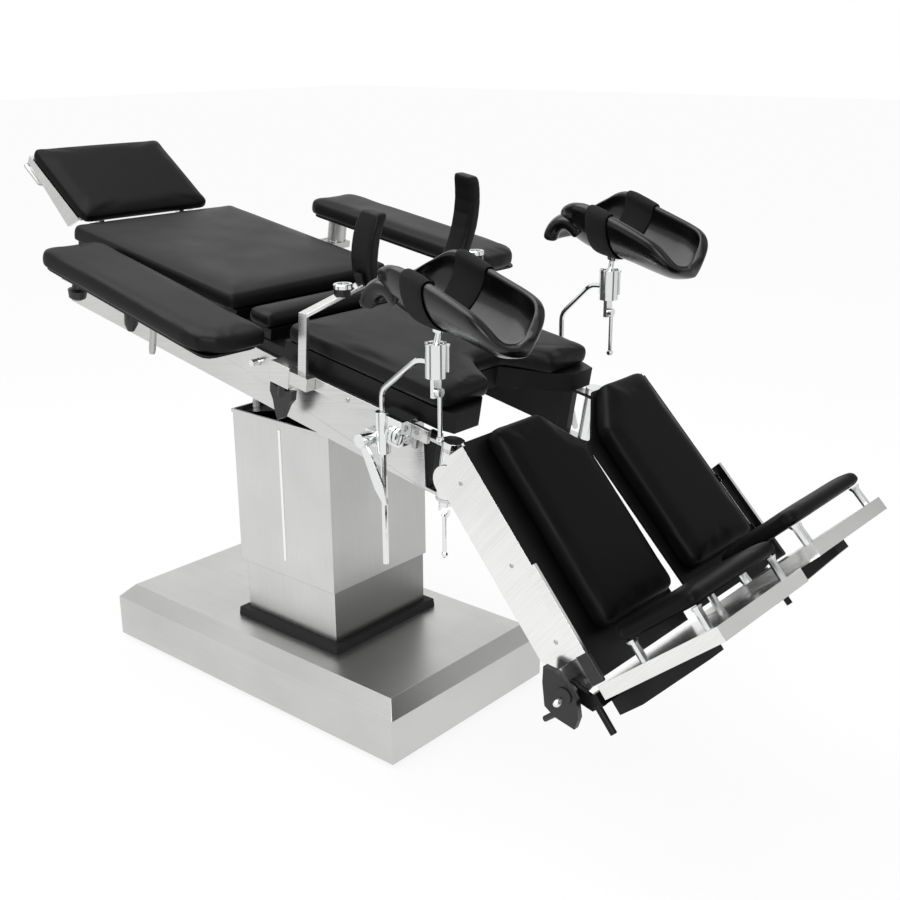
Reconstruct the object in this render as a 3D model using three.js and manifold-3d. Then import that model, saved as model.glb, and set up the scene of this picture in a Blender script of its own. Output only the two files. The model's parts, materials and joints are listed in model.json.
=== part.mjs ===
// Electric operating table with arm boards, lateral supports, knee crutches and two split legs.
// Millimetres, +X to the foot end, +Z up, origin on the floor under the middle of the whole table.

import * as THREE from "three";
import { mergeVertices } from "three/addons/utils/BufferGeometryUtils.js";
import Module from "manifold-3d";

const wasm = await Module();
wasm.setup();

// Driving dimensions

const gap = 0.4;
const cut = 6;
const rodSides = 12;
const barrelSides = 20;
const tubeSides = 8;
const bendSteps = 3;
const nearlyParallel = 0.9;

const base = { length: 1000, width: 543, bottom: 12, sideTop: 119.5, top: 152.6, bevel: 33, wall: 4 };
const foot = { radius: 24, x: 430, y: 215 };
const ballast = { height: 60 };
const cylinder = { x: 56, radius: 75, bore: 45, floor: 80, top: 530 };
const lowerSleeve = { x: 58, length: 310, width: 312, wall: 3, top: 535 };
const upperSleeve = { x: 53, length: 329, width: 323, wall: 3, bottom: 300, top: 693, rim: 2.5,
    rimHeight: 9 };
const gasket = { border: 18, spread: 4, top: 173 };

const ram = { bottom: 190, headBottom: 640, headTop: 684 };
const pitch = { x: 53, z: 745, cheekRadius: 50, cheekIn: 62, cheekOut: 84, pin: 20, pinEnd: 92, hub: 45 };
const hose = { x: -74, y: -118, top: 812, radius: 7, rib: 9.2, ribs: 11 };

const tableTiltDeg = 9.62;
const tableTop = 1009.3;
const roll = { n: -150, start: 12, end: 184, radius: 20, blockHalf: 40, blockTop: -125 };

const padThickness = 45;
const seat = { start: 195, end: 652, halfWidth: 251, top: -11, corner: 24 };
const notch = { mouth: 104, waistS: 598, waist: 75, deepS: 560, deep: 48 };
const notchShares = { mouth: 0.6, waist: 0.5, deep: 0.8 };
const pan = { start: 10, end: 585, halfWidth: 243.4, top: -76, bottom: -104, deckTop: -56.5 };
const panLobe = { tipS: 674, shoulderS: 640, cheekS: 645, inner: 128, chamfer: 30, cheek: 10, outer: 232,
    shy: 8 };
const lug = { halfWidth: 30, bottom: -178, frontStart: 14, frontEnd: 40, rearStart: 153, rearEnd: 179 };

const plate = { inner: 244, outer: 250, headTop: -85, headBottom: -206.5, headS: -588 };
const plateFoot = { topS: 610.6, topN: -113.9, bottomS: 634.9, bottomN: -233.5 };
const crossTube = { radius: 15, n: -150, places: [-560, -300] };
const rail = { start: 205, end: 640, inner: 262, outer: 272, bottom: -123, top: -95 };
const railSpacer = { places: [232, 420, 612], half: 12, top: -114.5 };

const back = { start: -586, end: 29, halfWidth: 258, corner: 22 };
const backPlate = { start: -580, end: 25, half: 235, bottom: -70 };
const backHinge = { s: 40, n: -57, eye: 10, pin: 6, tongueIn: 130, tongueOut: 170, earOut: 190, earIn: 110 };
const bridge = { start: 75, end: 150, halfWidth: 255, top: -11, bottom: -50, plateHalf: 240, inset: 5,
    corner: 20 };
const guide = { s: 112, y: 190, radius: 12, bottom: -230 };
const crank = { s: 123, n: -130, radius: 7.5, hub: 16, innerEnd: 225, outerEnd: 272, hexRadius: 8.6,
    hexLength: 14 };

const head = { x: -588, z: 1115, pitchDeg: 36.8, length: 272, halfWidth: 200, thickness: 34, corner: 22 };
const headPlate = { start: 25, end: 266, halfWidth: 190, thickness: 6, cheek: 7 };
const headCheek = { nearN: -42, nearS: 30, farN: -35, farS: 270, farLow: -54, lowS: 53, lowN: -84 };
const headHinge = { s: 20, n: -62, eye: 10, pin: 6, tongueIn: 120, tongueOut: 135, armOut: 155 };
const headHandle = { radius: 6, rootA: 190, rootC: -60, startA: 206, endA: 280, c: -74, y: 193, bend: 8 };

const arm = { length: 632, width: 175, thickness: 45, corner: 42, innerCorner: 25, endCorner: 84 };
const armBoard = { inset: 14, thickness: 6 };
const armNear = { x: -133, y: -357, z: 1020, tiltDeg: 12, yawDeg: -1, pivotS: -272, pivotY: 0 };
const armFar = { x: -65, y: 440, z: 1077, tiltDeg: 9.2, yawDeg: 0, pivotS: -272, pivotY: 0 };
const armPivot = { radius: 11, boss: 26, bossHeight: 12 };
const armBracket = { half: 27, thickness: 18, top: -67, innerY: 235.4 };

const lateral = { s: 246, start: 214, end: 272, outer: 300, top: -85, bottom: -133, lip: 256 };
const barHolder = { end: 324, top: -92, bottom: -121, outer: 298 };
const wing = { hub: 12, thickness: 14, y: 288, screw: 6 };
const supportBar = { y: 284, thickness: 8, width: 24, footX: 276, footZ: 836, kneeX: 289, kneeZ: 1000 };
const barLean = (supportBar.kneeX - supportBar.footX) / (supportBar.kneeZ - supportBar.footZ);
const supportNeck = { thickness: 8, shares: [0.05, 0.14, 0.26], rootShare: 0.12 };
const supportPad = { width: 60, thickness: 32, edge: 4, bow: 95, bowMiddle: 0.55 };
const supportPlaces = {
  near: { s: 338, y: 192, bottom: 82, top: 254, rise: 0 },
  far: { s: 313, y: 187, bottom: 98, top: 296, rise: 22 },
};
const supportRings = [
  { height: 0, draw: 0.8 }, { height: 0.05, draw: 0.97 },
  { height: 0.14, draw: 1 }, { height: 0.26, draw: 1 }, { height: 0.4, draw: 1 }, { height: 0.55, draw: 1 },
  { height: 0.7, draw: 1 }, { height: 0.84, draw: 1 },
  { height: 0.95, draw: 0.97 }, { height: 1, draw: 0.8 },
];

const crutchY = 300;
const crutchRod = { radius: 6, x: 521, bottom: 513, bend: 16 };
const crutchNear = { ballX: 661, ballZ: 985, kneeX: 530, kneeZ: 883, endZ: 959 };
const crutchFar = { ballX: 645, ballZ: 1036, kneeX: 532, kneeZ: 933, endZ: 1010 };
const railClamp = { start: 532, end: 598, outer: 304, top: -85, bottom: -140, lip: 256 };
const clampTube = { radius: 15, top: 838, bottom: 752 };
const lockLever = { x: 489, z: 778, hubRadius: 15, hubOut: 336, screw: 7, tipX: 551, tipZ: 656 };
const leverBlade = { rootWidth: 9, bellyWidth: 13, tipWidth: 5, bellyShare: 0.72, thickness: 6, y: 327 };
const ballClamp = { radius: 21, length: 66, under: 54, ball: 13.4, neck: 7.5, mouth: 13.2 };
const ballFork = { half: 11, width: 9, drop: 39 };
const ballLever = { radius: 4.5, hubRadius: 9, length: 92, tip: 8, hubOut: 20 };

const shellTiltDeg = 12;
const shellWall = 8;
const shellNeckTop = 46;
const shellSteps = 9;
const shellLift = 48;
const shellBulgeShare = 0.25;
const shellStations = [
  { u: -152, half: 36, low: 62, near: 96, far: 96 },
  { u: -140, half: 58, low: 52, near: 118, far: 112 },
  { u: -116, half: 70, low: 46, near: 138, far: 126 },
  { u: -82, half: 80, low: 44, near: 150, far: 150 },
  { u: -40, half: 86, low: 45, near: 150, far: 168 },
  { u: 40, half: 86, low: 47, near: 141, far: 158 },
  { u: 110, half: 86, low: 46, near: 128, far: 148 },
  { u: 160, half: 82, low: 45, near: 112, far: 141 },
  { u: 194, half: 68, low: 50, near: 102, far: 136 },
  { u: 211, half: 42, low: 68, near: 108, far: 124 },
];

const post = { s: 685, y: 245, radius: 21.5, bottom: -225, top: -125, pin: 10, cap: 23, capTop: -104 };
const postEar = { thickness: 7, radius: 21.5 };
const legPitch = { s: 735, n: -150 };
const legPitchPin = { radius: 9, inner: 215, outer: 300, armIn: 233, armOut: 257, armHalf: 22 };
const legLever = { collar: 13, ring: 12, ringWire: 4, rod: 4.5, end: 545, tip: 7 };

const legAxis = { a: -38.6, c: 128.4 };
const legNearDeg = 49.7;
const legFarDeg = 45.4;
// Along a leg, a place short of or past the foot end of its plate goes by these.
const legPlate = { inner: 5, outer: 313, length: 495, top: -45.5, thickness: 6 };
const legShort = { pad: 68, side: 53, heelTip: 49, heelLow: 77, heelStart: 91, rail: 54,
    spacers: [210, 80], hinge: 5 };
const legPast = { face: 9, heel: 17, pin: 17, link: 19, arm: 45, tip: 58, bracket: 79, stub: 97 };
const legPad = { inner: 22, outer: 268, length: legPlate.length - legShort.pad, corner: 26, mouthCorner: 16 };
const legNotch = { mouth: 120, depth: 92, step: 20, padStep: 12 };
const legSide = { thickness: 7, top: -45.5, bottom: -147, length: legPlate.length - legShort.side };
const legHeel = {
  cornerA: 4, cornerC: -90, topA: 6, tipA: legPlate.length - legShort.heelTip, tipC: -120,
  lowA: legPlate.length - legShort.heelLow, inner: 303, startA: legPlate.length - legShort.heelStart,
  endA: legPlate.length + legPast.heel,
};
const legBoss = { radius: 31, hub: 22, inner: 262 };
const legTongue = { inner: 218, outer: 228, radius: 18, footStart: 34, footEnd: 85 };
const legRail = {
  start: 260, end: legPlate.length - legShort.rail, inner: 327, outer: 335, low: -50, high: -26, spacer: 10,
  places: legShort.spacers.map((short) => legPlate.length - short),
};

const footPlate = {
  face: legPlate.length + legPast.face, thickness: 5, low: -58, high: 238, inner: 10, outer: 317, fold: 28,
};
const footHinge = { a: legPlate.length - legShort.hinge, c: -112, pin: 8, washer: 18 };
const footPad = { standoff: 44, thickness: 33, low: 36, high: 234, inner: 18, outer: 325, corner: 22 };
footPad.face = footPlate.face - footPad.standoff - footPad.thickness;
const footPost = { radius: 8, flare: 12, flareLength: 9, inset: 21 };
const footBracket = {
  depth: legPlate.length + legPast.bracket, tip: legPlate.length + legPast.tip, high: 150, bendC: -35,
  low: -96,
  lowA: legPlate.length + legPast.arm, inner: 215, outer: 262,
};
const footArm = {
  inner: 314, outer: 323, end: legPlate.length + legPast.arm, high: -62,
  linkStart: legPlate.length + legPast.link, linkLow: -94, linkHigh: -66,
};
const footKnob = { inner: 326, outer: 352, hub: 17, y: 342, thickness: 13 };
const footPin = {
  a: legPlate.length + legPast.pin, top: -112, bottom: -190, radius: 6,
  stubEnd: legPlate.length + legPast.stub, stub: 7,
};

const knobWings = [[-64, -8], [-40, -30], [0, -56], [26, -48], [62, -20], [48, 2], [18, 20], [-14, 18],
    [-44, 12]];
const lateralWings = [
  [-35, 4], [-14, -2], [14, -2], [35, 4], [34, -18], [22, -34], [10, -66], [-4, -76], [-14, -60],
  [-23, -34], [-34, -18],
];

// Materials

const finishes = {
  steel: { color: 0xc4c4c4, roughness: 0.38, metalness: 0.9 },
  bright: { color: 0xe2e2e2, roughness: 0.16, metalness: 1 },
  cast: { color: 0x1b1b1c, roughness: 0.6, metalness: 0.4 },
  black: { color: 0x151516, roughness: 0.5, metalness: 0.1 },
  rubber: { color: 0x101011, roughness: 0.75, metalness: 0 },
  leather: { color: 0x26262a, roughness: 0.5, metalness: 0 },
  gloss: { color: 0x0c0c0e, roughness: 0.2, metalness: 0 },
};

// Solids

function solidOf(geometry) {
  const bare = geometry.clone();
  bare.deleteAttribute("normal");
  bare.deleteAttribute("uv");
  const merged = mergeVertices(bare);
  const vertProperties = new Float32Array(merged.attributes.position.array);
  const triVerts = new Uint32Array(merged.index.array);
  return new wasm.Manifold(new wasm.Mesh({ numProp: 3, vertProperties, triVerts }));
}

function join(...solids) {
  return solids.reduce((whole, next) => whole.add(next));
}

function box(low, high) {
  const size = low.map((value, index) => Math.abs(high[index] - value));
  const middle = low.map((value, index) => (high[index] + value) / 2);
  return solidOf(new THREE.BoxGeometry(...size).translate(...middle));
}

function taperedBox(x, lengthLow, widthLow, lengthHigh, widthHigh, low, high) {
  const geometry = new THREE.BoxGeometry(lengthLow, widthLow, high - low);
  const position = geometry.attributes.position;
  for (let index = 0; index < position.count; index += 1) {
    if (position.getZ(index) > 0) {
      position.setX(index, position.getX(index) * lengthHigh / lengthLow);
      position.setY(index, position.getY(index) * widthHigh / widthLow);
    }
  }
  return solidOf(geometry.translate(x, 0, (low + high) / 2));
}

function rod(radius, from, to, sides = rodSides, endRadius = radius) {
  const start = new THREE.Vector3(...from);
  const end = new THREE.Vector3(...to);
  const along = end.clone().sub(start);
  const geometry = new THREE.CylinderGeometry(endRadius, radius, along.length(), sides);
  const turn = new THREE.Quaternion().setFromUnitVectors(new THREE.Vector3(0, 1, 0),
      along.clone().normalize());
  geometry.applyQuaternion(turn);
  const middle = start.add(end).divideScalar(2);
  return solidOf(geometry.translate(middle.x, middle.y, middle.z));
}

// A cutter whose flats, not its corners, keep the gap to a rod of the given radius.
function boreCutter(radius, from, to, sides = rodSides) {
  return rod((radius + gap) / Math.cos(Math.PI / sides), from, to, sides);
}

function ballRings(sides) {
  return Math.round(sides * 2 / 3);
}

function ball(radius, centre, sides = rodSides) {
  return solidOf(new THREE.SphereGeometry(radius, sides, ballRings(sides)).translate(...centre));
}

// A cutter whose flats keep the gap to a ball of the given radius, however the ball turns.
function socketCutter(radius, centre, sides = rodSides) {
  const flatShare = Math.cos(Math.PI / sides) * Math.cos(Math.PI / 2 / ballRings(sides));
  return ball((radius + gap) / flatShare, centre, sides);
}

// An outline in the XZ plane given as [x, z] corners, thickened from one y to the other.
function sideSlab(corners, fromY, toY) {
  const shape = new THREE.Shape(corners.map(([x, z]) => new THREE.Vector2(x, z)));
  const depth = Math.abs(toY - fromY);
  const geometry = new THREE.ExtrudeGeometry(shape, { depth, bevelEnabled: false });
  geometry.rotateX(Math.PI / 2);
  return solidOf(geometry.translate(0, Math.max(fromY, toY), 0));
}

// An outline in the XY plane given as [x, y] corners, thickened from one height to the other.
function flatSlab(corners, low, high) {
  const shape = new THREE.Shape(corners.map(([x, y]) => new THREE.Vector2(x, y)));
  const geometry = new THREE.ExtrudeGeometry(shape, { depth: high - low, bevelEnabled: false });
  return solidOf(geometry.translate(0, 0, low));
}

// A round bar through the given points, each inner corner rounded to the bend length.
function bentRod(points, radius, bend, sides = tubeSides) {
  const corners = points.map((point) => new THREE.Vector3(...point));
  const path = new THREE.CurvePath();
  let from = corners[0];
  for (let index = 1; index < corners.length - 1; index += 1) {
    const corner = corners[index];
    const before = corner.clone().add(corners[index - 1].clone().sub(corner).setLength(bend));
    const after = corner.clone().add(corners[index + 1].clone().sub(corner).setLength(bend));
    path.add(new THREE.LineCurve3(from, before));
    path.add(new THREE.QuadraticBezierCurve3(before, corner, after));
    from = after;
  }
  path.add(new THREE.LineCurve3(from, corners[corners.length - 1]));
  const stops = [];
  for (const curve of path.curves) {
    const steps = curve.isLineCurve3 ? 1 : bendSteps;
    for (let step = 0; step < steps; step += 1) {
      stops.push(curve.getPoint(step / steps));
    }
  }
  stops.push(corners[corners.length - 1]);
  return sweep(stops, radius, sides);
}

// Rings of one radius carried along the stops without twist.
function sweep(stops, radius, sides) {
  let aside = new THREE.Vector3(0, 1, 0);
  const rings = stops.map((stop, index) => {
    const last = stops[Math.max(index - 1, 0)];
    const next = stops[Math.min(index + 1, stops.length - 1)];
    const along = next.clone().sub(last).normalize();
    if (Math.abs(along.dot(aside)) > nearlyParallel) {
      aside = new THREE.Vector3(1, 0, 0);
    }
    aside = aside.clone().sub(along.clone().multiplyScalar(aside.dot(along))).normalize();
    const up = along.clone().cross(aside);
    return Array.from({ length: sides }, (_, side) => {
      const angle = side / sides * Math.PI * 2;
      const offset = aside.clone().multiplyScalar(Math.cos(angle) * radius);
      return stop.clone().add(offset).add(up.clone().multiplyScalar(Math.sin(angle) * radius));
    });
  });
  return loft(rings);
}

// A closed skin over rings with the same number of points, closed by a fan at both ends.
function loft(rings) {
  const count = rings[0].length;
  const points = rings.flat();
  const triangles = [];
  for (let ring = 0; ring < rings.length - 1; ring += 1) {
    for (let side = 0; side < count; side += 1) {
      const here = ring * count + side;
      const beside = ring * count + (side + 1) % count;
      triangles.push([here, beside, beside + count], [here, beside + count, here + count]);
    }
  }
  const lastRing = (rings.length - 1) * count;
  for (let side = 1; side < count - 1; side += 1) {
    triangles.push([0, side + 1, side]);
    triangles.push([lastRing, lastRing + side, lastRing + side + 1]);
  }
  return skin(points, triangles);
}

function skin(points, triangles) {
  const volume = triangles.reduce((total, [a, b, c]) => (
    total + points[a].dot(points[b].clone().cross(points[c]))), 0);
  const facing = volume > 0 ? triangles : triangles.map(([a, b, c]) => [a, c, b]);
  const vertProperties = new Float32Array(points.flatMap((point) => [point.x, point.y, point.z]));
  const triVerts = new Uint32Array(facing.flat());
  return new wasm.Manifold(new wasm.Mesh({ numProp: 3, vertProperties, triVerts }));
}

// Outlines and cushions

// Rounds each [x, y, radius] corner of an outline with arcs.
function roundedOutline(corners, steps = 3) {
  const points = [];
  corners.forEach(([x, y, radius], index) => {
    const corner = new THREE.Vector2(x, y);
    const before = new THREE.Vector2(...corners.at(index - 1).slice(0, 2)).sub(corner).normalize();
    const [nextX, nextY] = corners[(index + 1) % corners.length];
    const after = new THREE.Vector2(nextX, nextY).sub(corner).normalize();
    const half = Math.acos(THREE.MathUtils.clamp(before.dot(after), -1, 1)) / 2;
    const reach = radius / Math.tan(half);
    const start = corner.clone().add(before.clone().multiplyScalar(reach));
    const end = corner.clone().add(after.clone().multiplyScalar(reach));
    for (let step = 0; step <= steps; step += 1) {
      const share = step / steps;
      const one = start.clone().lerp(corner, share);
      const two = corner.clone().lerp(end, share);
      points.push(one.lerp(two, share));
    }
  });
  return points;
}

function rectangle(x0, y0, x1, y1, radius) {
  return [[x0, y0, radius], [x1, y0, radius], [x1, y1, radius], [x0, y1, radius]];
}

// The [x, y, radius] corners moved inward, outward corners getting tighter and inward ones wider.
function insetCorners(corners, distance) {
  return corners.map(([x, y, radius], index) => {
    const point = new THREE.Vector2(x, y);
    const one = point.clone().sub(new THREE.Vector2(...corners.at(index - 1).slice(0, 2))).normalize();
    const next = corners[(index + 1) % corners.length];
    const two = new THREE.Vector2(next[0], next[1]).sub(point).normalize();
    const inward = new THREE.Vector2(-one.y - two.y, one.x + two.x).normalize();
    const moved = point.add(inward.multiplyScalar(distance / Math.sqrt((1 + one.dot(two)) / 2)));
    const tighter = Math.max(radius - distance, radius * leastCornerShare);
    return [moved.x, moved.y, one.cross(two) > 0 ? tighter : radius + distance];
  });
}

// Cushion rings as shares of the thickness (height) and of the edge depth (inset).
const cushionRings = [
  { inset: 0.42, height: 0 },
  { inset: 0.08, height: 0.12 },
  { inset: 0, height: 0.5 },
  { inset: 0.1, height: 0.8 },
  { inset: 0.45, height: 0.95 },
  { inset: 1.15, height: 1 },
];
const cushionEdge = 13;
const crownInset = 30;
const crownRise = 3;
const leastCornerShare = 0.15;

// A padded block: drawn-in sides, rounded edge and a low crown, lying on z = low.
function cushion(corners, low, high) {
  const flat = corners.map(([x, y]) => new THREE.Vector2(x, y));
  const counter = THREE.ShapeUtils.area(flat) > 0 ? corners : [...corners].reverse();
  const sideTop = high - crownRise;
  const rings = cushionRings.map(({ inset, height }) => ({
    points: roundedOutline(insetCorners(counter, inset * cushionEdge)),
    z: THREE.MathUtils.lerp(low, sideTop, height),
  }));
  rings.push({ points: roundedOutline(insetCorners(counter, crownInset)), z: high });
  const count = rings[0].points.length;
  const points = rings.flatMap((ring) => ring.points.map(
    (point) => new THREE.Vector3(point.x, point.y, ring.z)));
  const triangles = [];
  for (let ring = 0; ring < rings.length - 1; ring += 1) {
    for (let side = 0; side < count; side += 1) {
      const here = ring * count + side;
      const beside = ring * count + (side + 1) % count;
      triangles.push([here, beside, beside + count], [here, beside + count, here + count]);
    }
  }
  const bottomCap = THREE.ShapeUtils.triangulateShape(rings[0].points, []);
  const topCap = THREE.ShapeUtils.triangulateShape(rings.at(-1).points, []);
  const topStart = (rings.length - 1) * count;
  bottomCap.forEach(([a, b, c]) => triangles.push([a, c, b]));
  topCap.forEach(([a, b, c]) => triangles.push([a + topStart, b + topStart, c + topStart]));
  return skin(points, triangles);
}

// The scene

const table = new THREE.Group();

function addMesh(parent, name, finish, solid) {
  const mesh = solid.getMesh();
  const geometry = new THREE.BufferGeometry();
  geometry.setAttribute("position", new THREE.BufferAttribute(new Float32Array(mesh.vertProperties), 3));
  geometry.setIndex(new THREE.BufferAttribute(new Uint32Array(mesh.triVerts), 1));
  geometry.computeVertexNormals();
  const material = new THREE.MeshStandardMaterial(finishes[finish]);
  const node = new THREE.Mesh(geometry, material);
  node.name = name;
  parent.add(node);
}

function tiltedGroup(x, y, z, tiltDeg, yawDeg = 0) {
  const group = new THREE.Group();
  group.position.set(x, y, z);
  group.rotation.set(0, THREE.MathUtils.degToRad(tiltDeg), THREE.MathUtils.degToRad(yawDeg), "ZYX");
  group.updateMatrixWorld(true);
  table.add(group);
  return group;
}

const floorFrame = tiltedGroup(0, 0, 0, 0);
const tableFrame = tiltedGroup(0, 0, tableTop, tableTiltDeg);

// A point of one frame told in another.
function carry(point, from, to) {
  const inFloor = from.localToWorld(new THREE.Vector3(...point));
  return to.worldToLocal(inFloor).toArray();
}

// Base and column

function ringBox(x, length, width, wall, low, high) {
  const outer = box([x - length / 2, -width / 2, low], [x + length / 2, width / 2, high]);
  const half = [length / 2 - wall, width / 2 - wall];
  const inner = box([x - half[0], -half[1], low - cut], [x + half[0], half[1], high + cut]);
  return outer.subtract(inner);
}

function makeBaseFrame() {
  const half = [base.length / 2 - base.wall - gap, base.width / 2 - base.wall - gap];
  const slab = box([-half[0], -half[1], base.bottom], [half[0], half[1], base.bottom + ballast.height]);
  const tube = rod(cylinder.radius, [cylinder.x, 0, base.bottom + cut], [cylinder.x, 0, cylinder.top],
      barrelSides);
  let whole = slab.add(tube);
  for (const x of [-foot.x, foot.x]) {
    for (const y of [-foot.y, foot.y]) {
      whole = whole.add(rod(foot.radius, [x, y, 0], [x, y, base.bottom + cut], rodSides));
    }
  }
  const boreEnds = [cylinder.floor, cylinder.top + cut].map((z) => [cylinder.x, 0, z]);
  const barrelBore = boreCutter(cylinder.bore, ...boreEnds, barrelSides);
  addMesh(floorFrame, "base_frame", "cast", whole.subtract(barrelBore));
}

function makeBaseCover() {
  const topLength = base.length - 2 * base.bevel;
  const topWidth = base.width - 2 * base.bevel;
  const half = [base.length / 2, base.width / 2];
  const skirt = box([-half[0], -half[1], base.bottom], [half[0], half[1], base.sideTop]);
  const roof = taperedBox(0, base.length, base.width, topLength, topWidth, base.sideTop, base.top);
  const inner = [base.length - 2 * base.wall, base.width - 2 * base.wall];
  const innerTop = [topLength - 2 * base.wall, topWidth - 2 * base.wall];
  const hollow = box(
    [-inner[0] / 2, -inner[1] / 2, base.bottom - cut], [inner[0] / 2, inner[1] / 2, base.sideTop]);
  const attic = taperedBox(0, inner[0], inner[1], innerTop[0], innerTop[1], base.sideTop,
      base.top - base.wall);
  const hole = [lowerSleeve.length / 2 + gap, lowerSleeve.width / 2 + gap];
  const low = [lowerSleeve.x - hole[0], -hole[1], base.sideTop];
  const opening = box(low, [lowerSleeve.x + hole[0], hole[1], base.top + cut]);
  const cover = skirt.add(roof).subtract(hollow.add(attic)).subtract(opening);
  addMesh(floorFrame, "base_cover", "steel", cover);
}

function makeGasket() {
  const length = lowerSleeve.length + 2 * gasket.border;
  const width = lowerSleeve.width + 2 * gasket.border;
  const low = base.top + gap;
  const spread = gasket.spread;
  const ring = taperedBox(lowerSleeve.x, length + spread, width + spread, length, width, low, gasket.top);
  const hole = [lowerSleeve.length / 2 + gap, lowerSleeve.width / 2 + gap];
  const opening = box(
    [lowerSleeve.x - hole[0], -hole[1], low - cut], [lowerSleeve.x + hole[0], hole[1], gasket.top + cut]);
  addMesh(floorFrame, "gasket", "rubber", ring.subtract(opening));
}

function makeSleeves() {
  const sleeve = lowerSleeve;
  const low = base.bottom + ballast.height + gap;
  const lower = ringBox(sleeve.x, sleeve.length, sleeve.width, sleeve.wall, low, sleeve.top);
  addMesh(floorFrame, "column_lower_cover", "steel", lower);
  const upper = upperSleeve;
  const body = ringBox(upper.x, upper.length, upper.width, upper.wall, upper.bottom, upper.top);
  const rim = ringBox(
    upper.x, upper.length + 2 * upper.rim, upper.width + 2 * upper.rim, upper.rim + upper.wall / 2,
    upper.top - upper.rimHeight, upper.top);
  addMesh(floorFrame, "column_upper_cover", "steel", body.add(rim));
}

function makeLiftRam() {
  const upper = upperSleeve;
  const half = [upper.length / 2 - upper.wall - gap, upper.width / 2 - upper.wall - gap];
  const shaft = rod(cylinder.bore, [cylinder.x, 0, ram.bottom], [cylinder.x, 0, ram.headBottom + cut],
      barrelSides);
  const plateBox = box([upper.x - half[0], -half[1], ram.headBottom],
      [upper.x + half[0], half[1], ram.headTop]);
  let whole = shaft.add(plateBox);
  const bore = boreCutter(pitch.pin, [pitch.x, -pitch.pinEnd - cut, pitch.z],
      [pitch.x, pitch.pinEnd + cut, pitch.z]);
  for (const side of [-1, 1]) {
    const y0 = side * pitch.cheekIn;
    const y1 = side * pitch.cheekOut;
    const stand = box(
      [pitch.x - pitch.cheekRadius, Math.min(y0, y1), ram.headTop - cut],
      [pitch.x + pitch.cheekRadius, Math.max(y0, y1), pitch.z]);
    const round = rod(pitch.cheekRadius, [pitch.x, y0, pitch.z], [pitch.x, y1, pitch.z], barrelSides);
    whole = whole.add(stand).add(round);
  }
  const rings = [];
  const steps = hose.ribs * 2;
  for (let step = 0; step <= steps; step += 1) {
    const z = THREE.MathUtils.lerp(ram.headTop - cut, hose.top, step / steps);
    const radius = step % 2 ? hose.rib : hose.radius;
    rings.push(circle(hose.x, hose.y, z, radius, tubeSides));
  }
  addMesh(floorFrame, "lift_ram", "cast", whole.subtract(bore).add(loft(rings)));
}

function circle(x, y, z, radius, sides) {
  return Array.from({ length: sides }, (_, side) => {
    const angle = side / sides * Math.PI * 2;
    return new THREE.Vector3(x + Math.cos(angle) * radius, y + Math.sin(angle) * radius, z);
  });
}

// Cradle and table frame

const pitchPoint = carry([pitch.x, 0, pitch.z], floorFrame, tableFrame);

function makeCradle() {
  const [s, , n] = pitchPoint;
  const half = pitch.cheekIn - gap;
  const hub = rod(pitch.hub, [s, -half, n], [s, half, n], barrelSides);
  const block = box([s - roll.blockHalf, -roll.blockHalf, n],
      [s + roll.blockHalf, roll.blockHalf, roll.blockTop]);
  const pin = rod(pitch.pin, [s, -pitch.pinEnd, n], [s, pitch.pinEnd, n]);
  const axle = rod(roll.radius, [roll.start, 0, roll.n], [roll.end, 0, roll.n], barrelSides);
  addMesh(tableFrame, "tilt_cradle", "cast", join(hub, block, pin, axle));
}

function notchedOutline(start, end, half, mouth, corner) {
  const low = [
    [start, -half, corner], [end, -half, corner], [end, -mouth, corner * notchShares.mouth],
    [notch.waistS, -notch.waist, corner * notchShares.waist],
    [notch.deepS, -notch.deep, corner * notchShares.deep],
  ];
  const high = low.map(([s, y, radius]) => [s, -y, radius]).reverse();
  return [...low, ...high];
}

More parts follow.
